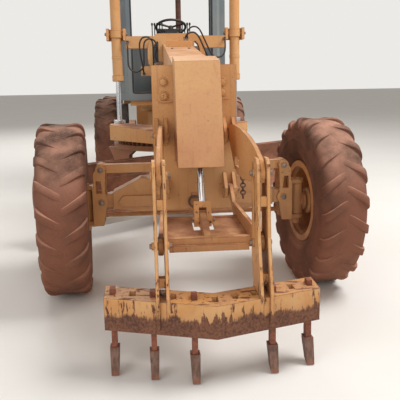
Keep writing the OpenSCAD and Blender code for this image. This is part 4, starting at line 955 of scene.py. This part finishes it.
HOSE_KNOTS = {  # in millimetres, from the front axle's middle
    "hose_left_inner": [
        (-377, 2234.7, 1745), (-377, 2195, 1745), (-378, 2156, 1755), (-383, 2121, 1788),
        (-388, 2107, 1832), (-400, 2101, 1900), (-411, 2097, 1975), (-416, 2094, 2045),
        (-410, 2093, 2090), (-388, 2092, 2128), (-350, 2093, 2144), (-309, 2097, 2138),
        (-279, 2103, 2108), (-267, 2110, 2060), (-266, 2125, 1985), (-266, 2140, 1905),
        (-265, 2149, 1832), (-253, 2150, 1786), (-229, 2150, 1758), (-190, 2150, 1745),
        (-155.3, 2150, 1745)],
    "hose_left_outer": [
        (-552, 2279.7, 2100), (-552, 2240, 2100), (-552, 2200, 2089), (-551, 2170, 2058),
        (-550, 2152, 2008), (-549, 2118, 1872), (-538, 2108, 1818), (-507, 2101, 1780),
        (-462, 2095, 1766), (-416, 2089, 1778), (-384, 2082, 1812), (-372, 2074, 1862),
        (-371, 2060, 1990), (-369, 2057, 2050), (-356, 2056, 2092), (-326, 2057, 2116),
        (-290, 2059, 2120), (-254, 2063, 2104), (-231, 2069, 2068), (-226, 2077, 2018),
        (-236, 2090, 1975), (-244, 2102, 1930), (-234, 2108, 1892), (-209, 2110, 1869),
        (-174, 2110, 1860), (-155.3, 2110, 1860)],
    "hose_right_outer": [
        (119, 2120, 2061.6), (119, 2115.7, 2101.6), (118, 2105, 2140), (119, 2092, 2180),
        (133, 2080, 2217), (161, 2071, 2241), (196, 2066, 2248), (231, 2065, 2237),
        (260, 2066, 2206), (286, 2070, 2155), (311, 2075, 2102), (336, 2081, 2050),
        (359, 2087, 2002), (382, 2092, 1962), (412, 2097, 1930), (455, 2103, 1915),
        (500, 2111, 1925), (533, 2122, 1957), (546, 2136, 2003), (550, 2155, 2055),
        (552, 2192, 2101), (552, 2240, 2125), (552, 2279.7, 2125)],
    "hose_right_inner": [
        (85, 2030, 2051.9), (85, 2025.7, 2091.9), (92, 2018, 2130), (112, 2010, 2163),
        (148, 2003, 2181), (186, 2002, 2181), (218, 2005, 2160), (244, 2012, 2126),
        (265, 2024, 2085), (286, 2042, 2042), (307, 2066, 2000), (328, 2096, 1958),
        (346, 2130, 1926), (361, 2168, 1905), (370, 2205, 1900), (370, 2234.7, 1900)],
}


class GRADER_OT_hoses(bpy.types.Operator):
    """Hydraulic hoses that loop over the beam, with crimped ends"""
    bl_idname = "grader.hoses"
    bl_label = "Hoses"

    def execute(self, context):
        diameter = context.scene.grader_sizes.hose
        fitting = smooth(turned("fitting", [
            (0, 0.002), (0, 0.75), (0.9, 0.75), (0.9, 1.15), (1.7, 1.15), (1.7, 0.62), (1.9, 0.62),
            (2.0, 0.70), (4.6, 0.70), (4.7, 0.62), (4.7, 0.50), (0.6, 0.50), (0.6, 0.002)], 24))
        hoses, ends = [], []
        for name, knots in HOSE_KNOTS.items():
            points = curve_through([along(*(value / 1000 for value in knot)) for knot in knots])
            hoses.append((mount(hose_line(name, points, diameter), "front_frame", "hose_rubber"),
                          points))
            ends += [placed(fitting, facing(first, second - first, diameter, top="X"))
                     for first, second in (points[:2], points[:-3:-1])]
        bpy.data.objects.remove(fitting)
        mount(joined("hose_ends", ends), "front_frame", "pin_steel")
        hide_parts("hoses")
        for piece, points in hoses:
            length_of(points)
        return {"FINISHED"}


def lamps_at(places, steps, body, *parts):
    """Lamps at the matrices, each part given by name, finish and profile and joined on its own."""
    return [mount(joined(name, spread(smooth(turned(name, profile, steps)), places)), body, finish)
            for name, finish, profile in parts]


class GRADER_OT_lamps(bpy.types.Operator):
    """Work lamps with a rim and a lens"""
    bl_idname = "grader.lamps"
    bl_label = "Lamps"

    def execute(self, context):
        low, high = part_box("lamps")
        forward = Matrix.Rotation(-math.pi / 2, 4, "Z")
        places = [Matrix.Translation((x, high.y, (low.z + high.z) / 2)) @ forward
                  for x in (-0.43, -0.25, 0.25, 0.43)]
        housing, _ = lamps_at(
            places, 40, "front_frame",
            ("lamp_housings", "black_plastic", [
                (0.0, 0.0005), (0.0, 0.034), (0.012, 0.048), (0.04, 0.057), (0.062, 0.059),
                (0.066, 0.056), (0.060, 0.052), (0.058, 0.0005)]),
            ("lamp_lenses", "lamp_lens", [
                (0.0605, 0.0004), (0.0605, 0.051), (0.0615, 0.051), (0.0655, 0.03),
                (0.067, 0.0004)]))
        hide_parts("lamps")
        return {"FINISHED"}


class GRADER_OT_pin_ends(bpy.types.Operator):
    """Bolted washers on the ends of the pins"""
    bl_idname = "grader.pin_ends"
    bl_label = "Pin ends"

    def execute(self, context):
        rows = {}

        def add(node, start, direction, size, body=None):
            """A bolt where the ray from the start meets the node."""
            rows.setdefault(body or node, []).append((node, along(*start), direction, size))

        for side, name in SIDES:
            inwards, outside = (-side, 0, 0), 0.6 * side
            y, high, low = LINK_REAR
            add("upper_links", (outside, y, high), inwards, 0.0135)
            add("lower_link", (outside, y, low), inwards, 0.0135)
            y, high, low = LINK_FRONT
            for z in (high, low):
                add("scarifier_frame", (outside, y, z), inwards, 0.016, "scarifier")
                add("scarifier_frame", (0.0, y, z), (side, 0, 0), 0.016, "scarifier")
            x, low, high = LEAN_PIN
            for z, way in ((low, 1), (low, -1), (high, 1), (high, -1)):
                add("lean_" + name, (x * side, -0.6 * way, z), (0, way, 0), 0.0155)
            x, y, z = LIFT
            for start, way in ((1.2, -side), (0.3, side)):
                add("lift_barrel_" + name, (start * side, y, z), (way, 0, 0), 0.0155)
            add("scarifier_rod", (0.4 * side, *YOKE_PIN), inwards, 0.0135)
        add("rear_frame", (0, 4.56, 1.7), (0, 0, -1), 0.030)
        for body, spots in rows.items():
            places = [facing(*strike(node, start, direction), size, 0.5 * number)
                      for number, (node, start, direction, size) in enumerate(spots)]
            heads = joined("pin_ends_" + body, spread(bolt_head(), places))
            mount(smooth(heads), body, "pin_steel")
        return {"FINISHED"}


class GRADER_OT_blade_bolts(bpy.types.Operator):
    """Flat bolts through the cutting edge and its end bits, with nuts behind"""
    bl_idname = "grader.blade_bolts"
    bl_label = "Blade bolts"

    def execute(self, context):
        run = Vector((math.cos(BLADE_YAW), math.sin(BLADE_YAW), 0))
        ahead = Vector((run.y, -run.x, 0))
        middle = along(0, 2.5, 0)
        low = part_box("moldboard")[0].z
        spots = [(0.152 * step, 0.100) for step in range(-11, 12)]
        spots += [(side * 1.74, height) for side in (-1, 1) for height in (0.20, 0.30, 0.42)]
        bases = [middle + run * (s + BLADE_SHIFT) + Vector((0, 0, low + height))
                 for s, height in spots]
        dome = turned("dome", [(0, 0.0004), (0, 1.0), (0.18, 0.94), (0.30, 0.60), (0.34, 0.0004)],
                      20, UPRIGHT)
        copies = []
        for template, way, size in ((dome, 1, 0.016), (bolt_head(), -1, 0.013)):
            met = (strike("moldboard", base + ahead * way, -ahead * way) for base in bases)
            copies += spread(template, [facing(place, normal, size) for place, normal in met])
        mount(smooth(joined("blade_bolts", copies)), "moldboard", "pin_steel")
        return {"FINISHED"}


class GRADER_OT_barrels(bpy.types.Operator):
    """Oil pipes, clamp bands and gland bolts of the blade's lift cylinders"""
    bl_idname = "grader.barrels"
    bl_label = "Lift barrels"

    def execute(self, context):
        route = ((0.055, 2.855), (0.066, 2.853), (0.077, 2.835), (0.0785, 2.78), (0.0785, 2.30),
                 (0.0785, 1.82), (0.077, 1.765), (0.066, 1.747), (0.055, 1.745))
        gland_bottom, bolt_circle, count = 1.6702, 0.050, 8
        for side, name in SIDES:
            x, y = LIFT[0] * side, LIFT[1]
            body = "lift_barrel_" + name
            pieces = [rod("pipe", [along(x, y + out, z) for out, z in route], 0.016)]
            for z in (1.93, 2.66):
                pieces.append(smooth(hoop("band", 0.0572, 0.0605, 0.014, 40, along(x, y, z))))
                pieces.append(block("saddle_clip", along(x - 0.016, y + 0.058, z - 0.012),
                                    along(x + 0.016, y + 0.090, z + 0.012), 0.003))
            mount(joined("barrel_pipe_" + name, pieces), body, "enamel")
            glands = [(along(x + bolt_circle * math.cos(turn), y + bolt_circle * math.sin(turn),
                             gland_bottom), (0, 0, -1))
                      for turn in (math.tau * n / count for n in range(count))]
            mount(bolts("gland_bolts_" + name, glands, 0.0085), body, "pin_steel")
        return {"FINISHED"}


class GRADER_OT_cab_fittings(bpy.types.Operator):
    """Rubber seals round the cab's openings, door handles and grab rails"""
    bl_idname = "grader.cab_fittings"
    bl_label = "Cab fittings"

    def execute(self, context):
        seals = [bead("seal", across(y, rectangle(-half, low, half, 3.108)), 0.022)
                 for y, half, low in ((3.424, 0.536, 1.502), (4.436, 0.608, 2.142))]
        mount(joined("cab_seals", seals), "front_frame", "black_plastic")
        handle = ((0.744, 1.90), (0.768, 1.902), (0.782, 1.918), (0.784, 1.98), (0.782, 2.042),
                  (0.768, 2.058), (0.744, 2.06))
        rose = [(0, 0.0004), (0, 0.019), (0.004, 0.019), (0.008, 0.012), (0.008, 0.0004)]
        rail = ((0.738, 1.62), (0.775, 1.622), (0.797, 1.645), (0.80, 1.72), (0.80, 2.10),
                (0.80, 2.48), (0.797, 2.555), (0.775, 2.578), (0.738, 2.58))
        for side, name in SIDES:
            door = "door_" + name
            panes = [bead("seal", beside(0.7475 * side, rectangle(3.792, low, 4.288, high)),
                          0.018, 0.04) for low, high in ((1.902, 3.028), (1.552, 1.828))]
            mount(joined("door_seals_" + name, panes), door, "black_plastic")
            outward = Matrix.Rotation(0 if side > 0 else math.pi, 4, "Z")
            pieces = [rod("handle", across(4.325, handle, side), 0.014)]
            pieces += [smooth(turned("rose", rose, 20, Matrix.Translation(place) @ outward))
                       for place in across(4.325, ((0.748, 1.90), (0.748, 2.06)), side)]
            mount(joined("door_handle_" + name, pieces), door, "black_plastic")
            mount(rod("grab_rail_" + name, across(4.405, rail, side), 0.022), "front_frame",
                  "black_iron")
        return {"FINISHED"}


class GRADER_OT_hood_fittings(bpy.types.Operator):
    """Hood: door seams, latches, caps, grille frame, tail lamps, bolts and the stack's rain flap"""
    bl_idname = "grader.hood_fittings"
    bl_label = "Hood fittings"

    def execute(self, context):
        pull = ((0, -0.05), (0.02, -0.048), (0.028, -0.03), (0.028, 0.03), (0.02, 0.048), (0, 0.05))
        seams, latches = [], []
        for side, start, end in ((-1, 5.03, 5.81), (-1, 5.88, 6.66), (1, 5.03, 5.81),
                                 (1, 5.88, 6.66)):
            door = beside(0.4805 * side, rectangle(start, 1.25, end, 2.01))
            seams.append(bead("seam", door, 0.009, 0.02))
            for z in (1.42, 1.80):
                knots = across(end - 0.03, [(0.478 + out, z + up) for out, up in pull], side)
                latches.append(rod("latch", knots, 0.010))
        mount(joined("hood_seams", seams), "rear_frame", "black_plastic")
        mount(joined("hood_latches", latches), "rear_frame", "black_iron")
        grille = bead("grille_frame", across(7.951, rectangle(-0.39, 1.27, 0.39, 2.01)), 0.020)
        mount(grille, "rear_frame", "enamel")
        cap = [(0, 0.0004), (0, 1.15), (0.12, 1.2), (0.25, 1.15), (0.25, 0.78), (0.4, 0.78),
               (0.4, 1.0), (0.95, 1.0), (1.1, 0.88), (1.12, 0.3), (1.0, 0.0004)]
        caps = [smooth(turned("cap", cap, 36, Matrix.Translation(along(x, y, HOOD_TOP - SKIN))
                              @ UPRIGHT @ Matrix.Scale(size, 4)))
                for x, y, size in ((0.0, 7.55, 0.065), (-0.24, 7.25, 0.045))]
        mount(joined("filler_caps", caps), "rear_frame", "black_iron")
        heads = [(along(0.40 * side, 4.93 + 0.49 * step, HOOD_TOP + 0.0003), (0, 0, 1))
                 for side in (-1, 1) for step in range(7)]
        mount(bolts("hood_bolts", heads, 0.010), "rear_frame", "pin_steel")
        rearward = Matrix.Rotation(math.pi / 2, 4, "Z")
        places = [Matrix.Translation(along(x, 7.9502, 1.62)) @ rearward for x in (-0.432, 0.432)]
        lamps_at(
            places, 32, "rear_frame",
            ("tail_lamp_shells", "black_plastic", [
                (0.0, 0.0005), (0.0, 0.036), (0.024, 0.036), (0.026, 0.033), (0.022, 0.031),
                (0.020, 0.0005)]),
            ("tail_lamp_lenses", "tail_lens", [
                (0.0202, 0.0004), (0.0202, 0.0305), (0.026, 0.028), (0.030, 0.016),
                (0.031, 0.0004)]))
        flap = turned("rain_flap", [(0, 0.0004), (0, 0.046), (0.002, 0.048), (0.005, 0.046),
                                    (0.005, 0.0004)], 32,
                      Matrix.Translation(along(*STACK, 3.096)) @ Matrix.Rotation(0.5, 4, "X")
                      @ UPRIGHT)
        hinge = rod("flap_hinge", [along(x, 5.557, 3.077) for x in (0.172, 0.205, 0.238)], 0.014)
        clamp = hoop("clamp", 0.0446, 0.050, 0.012, 36, along(*STACK, 2.475))
        mount(smooth(joined("stack_flap", [flap, hinge, clamp])), "rear_frame", "rusty_pipe")
        return {"FINISHED"}


def puffed(piece, reach):
    """The piece swells like a stuffed cushion; no point moves further than the reach."""
    take(piece)
    piece.data.remesh_voxel_size = 0.008
    bpy.ops.object.voxel_remesh()
    before = [vertex.co.copy() for vertex in piece.data.vertices]
    cloth = piece.modifiers.new("Cloth", "CLOTH")
    cloth.settings.use_pressure = True
    cloth.settings.uniform_pressure_force = 4
    cloth.settings.effector_weights.gravity = 0
    for number in range(1, 21):
        bpy.context.scene.frame_set(number)
    bpy.ops.object.modifier_apply(modifier=cloth.name)
    bpy.context.scene.frame_set(1)
    for vertex, start in zip(piece.data.vertices, before):
        step = vertex.co - start
        if step.length > reach:
            vertex.co = start + step * (reach / step.length)


class GRADER_OT_seat(bpy.types.Operator):
    """Driver's seat: two sewn cushions on a pan, over a bellows"""
    bl_idname = "grader.seat"
    bl_label = "Seat"

    def execute(self, context):
        low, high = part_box("seat")
        front = low.y

        def lean(z):
            """How far back the back leans at a height."""
            return (z - low.z - 0.45) * 0.125

        base = block("seat_cushion", (-0.212, front + 0.026, low.z + 0.352),
                     (0.212, front + 0.402, low.z + 0.432), 0.03)
        back = block("seat_back", (-0.205, front + 0.345, low.z + 0.47),
                     (0.205, front + 0.405, high.z - 0.025), 0.025)
        for vertex in back.data.vertices:
            vertex.co.y += lean(vertex.co.z)
        for cushion in (base, back):
            puffed(cushion, 0.018)
            for vertex in cushion.data.vertices:
                for seam in (-0.115, 0.0, 0.115):
                    dip = 0.010 * math.exp(-((vertex.co.x - seam) / 0.007) ** 2)
                    if cushion is back:
                        forward = vertex.co.y < front + 0.375 + lean(vertex.co.z)
                        vertex.co.y += dip * (1 if forward else -0.5)
                    elif vertex.co.z > low.z + 0.40:
                        vertex.co.z -= dip
            finish_with(cushion, "SUBSURF", levels=1, render_levels=1)
            smooth(cushion, 80)
            mount(cushion, "front_frame", "seat_cloth")
        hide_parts("seat")
        pan = [block("pan", (-0.235, front + 0.004, low.z + 0.330),
                     (0.235, front + 0.425, low.z + 0.352), 0.008)]
        for fold in range(6):
            inset, foot = 0.014 * (fold % 2), low.z + 0.055 * fold
            pan.append(block("fold", (-0.148 + inset, front + 0.062 + inset, foot),
                             (0.148 - inset, front + 0.298 - inset, foot + 0.057), 0.009))
        mount(joined("seat_base", pan), "front_frame", "black_plastic")
        return {"FINISHED"}


class GRADER_OT_knobs(bpy.types.Operator):
    """Knobs on the control levers"""
    bl_idname = "grader.knobs"
    bl_label = "Lever knobs"

    def execute(self, context):
        knob = turned("knob", [(-0.012, 0.0075), (-0.010, 0.010), (0.004, 0.0135), (0.016, 0.0135),
                               (0.026, 0.009), (0.029, 0.0004), (-0.012, 0.0004)], 20, UPRIGHT)
        knobs = spread(knob, [Matrix.Translation(along(side * (0.12 + 0.034 * step), 3.66, 2.40))
                              for side in (-1, 1) for step in range(5)])
        mount(smooth(joined("lever_knobs", knobs), 60), "front_frame", "black_plastic")
        return {"FINISHED"}


class GRADER_OT_stage(bpy.types.Operator):
    """Floor, soft lights and the camera"""
    bl_idname = "grader.stage"
    bl_label = "Studio"

    def execute(self, context):
        scene = context.scene
        drop_selection()
        bpy.ops.mesh.primitive_plane_add(size=120)
        floor = context.object
        floor.name = floor.data.name = "studio_floor"
        ground = Finish("studio_floor", "")
        tone = ground.mix(ink(226, 222, 216), ink(234, 231, 226), ground.noise(0.8, 3))
        ground.done(base_color=tone, roughness=0.9)
        floor.data.materials.append(ground.material)
        for name, place, size, power in (
                ("key", (5.5, -4.0, 9.0), 5.0, 880), ("fill", (-7.0, -10.0, 6.0), 7.0, 305),
                ("back", (-3.0, 9.0, 9.0), 6.0, 620), ("front", (1.0, -14.0, 4.5), 6.0, 215)):
            light = bpy.data.lights.new(name, "AREA")
            light.size = size
            light.energy = power
            lamp = bpy.data.objects.new(name, light)
            lamp.location = place
            aim = Vector((0, -2.0, 0.8)) - Vector(place)
            lamp.rotation_euler = aim.to_track_quat("-Z", "Y").to_euler()
            scene.collection.objects.link(lamp)
        scene.world = bpy.data.worlds.new("studio")
        scene.world.use_nodes = True
        sky = Board(scene.world.node_tree)
        soft = sky.node("ShaderNodeBackground",
                        values={"Color": ink(255, 252, 246), "Strength": 0.38})
        plain = sky.node("ShaderNodeBackground",
                         values={"Color": ink(236, 234, 230), "Strength": 1.0})
        seen, through, mirrored = (
            sky.node("ShaderNodeLightPath", out=f"Is {ray} Ray")
            for ray in ("Camera", "Transmission", "Glossy"))
        blend = sky.node("ShaderNodeMixShader",
                         values={0: seen.most(through).most(mirrored), 1: soft, 2: plain})
        sky.feed(sky.tree.nodes["World Output"].inputs["Surface"], blend)
        scene.view_settings.view_transform = "Standard"
        picture_width, focal_pixels = 400, 592.4
        lens = bpy.data.cameras.new("photo_view")
        lens.sensor_width = 36
        lens.lens = focal_pixels * lens.sensor_width / picture_width
        lens.clip_end = 300
        camera = bpy.data.objects.new("photo_view", lens)
        right, up = Vector((0.9962, -0.0856, -0.0162)), Vector((0.0332, 0.2020, 0.9788))
        ahead = Vector((0.0805, 0.9756, -0.2041))
        camera.location = along(-0.333, -4.723, 1.705)
        camera.rotation_euler = Matrix((right, up, -ahead)).transposed().to_quaternion().to_euler()
        scene.collection.objects.link(camera)
        scene.camera = camera
        return {"FINISHED"}


class GRADER_PT_panel(bpy.types.Panel):
    """The grader's pieces"""
    bl_label = "Motor Grader"
    bl_space_type = "VIEW_3D"
    bl_region_type = "UI"
    bl_category = "Grader"

    def draw(self, context):
        layout = self.layout
        for key in ("enamel", "faded", "soil", "pillar"):
            layout.prop(context.scene.grader_finishes, key)
        for key in ("lugs", "hose", "nuts"):
            layout.prop(context.scene.grader_sizes, key)
        for operator in OPERATORS:
            layout.operator(operator.bl_idname)


OPERATORS = (GRADER_OT_finishes, GRADER_OT_hoses, GRADER_OT_tyres, GRADER_OT_wheel_nuts,
             GRADER_OT_nose_bolts, GRADER_OT_lamps, GRADER_OT_pin_ends, GRADER_OT_blade_bolts,
             GRADER_OT_barrels, GRADER_OT_cab_fittings, GRADER_OT_hood_fittings, GRADER_OT_seat,
             GRADER_OT_knobs, GRADER_OT_stage)
CLASSES = (GraderFinishes, GraderSizes, *OPERATORS, GRADER_PT_panel)


def register():
    for item in CLASSES:
        bpy.utils.register_class(item)
    bpy.types.Scene.grader_finishes = bpy.props.PointerProperty(type=GraderFinishes)
    bpy.types.Scene.grader_sizes = bpy.props.PointerProperty(type=GraderSizes)


def unregister():
    del bpy.types.Scene.grader_sizes
    del bpy.types.Scene.grader_finishes
    for item in reversed(CLASSES):
        bpy.utils.unregister_class(item)


def main():
    """Builds every piece."""
    register()
    for operator in OPERATORS:
        group, name = operator.bl_idname.split(".")
        getattr(getattr(bpy.ops, group), name)()
    drop_selection()


if __name__ == "__main__":
    main()
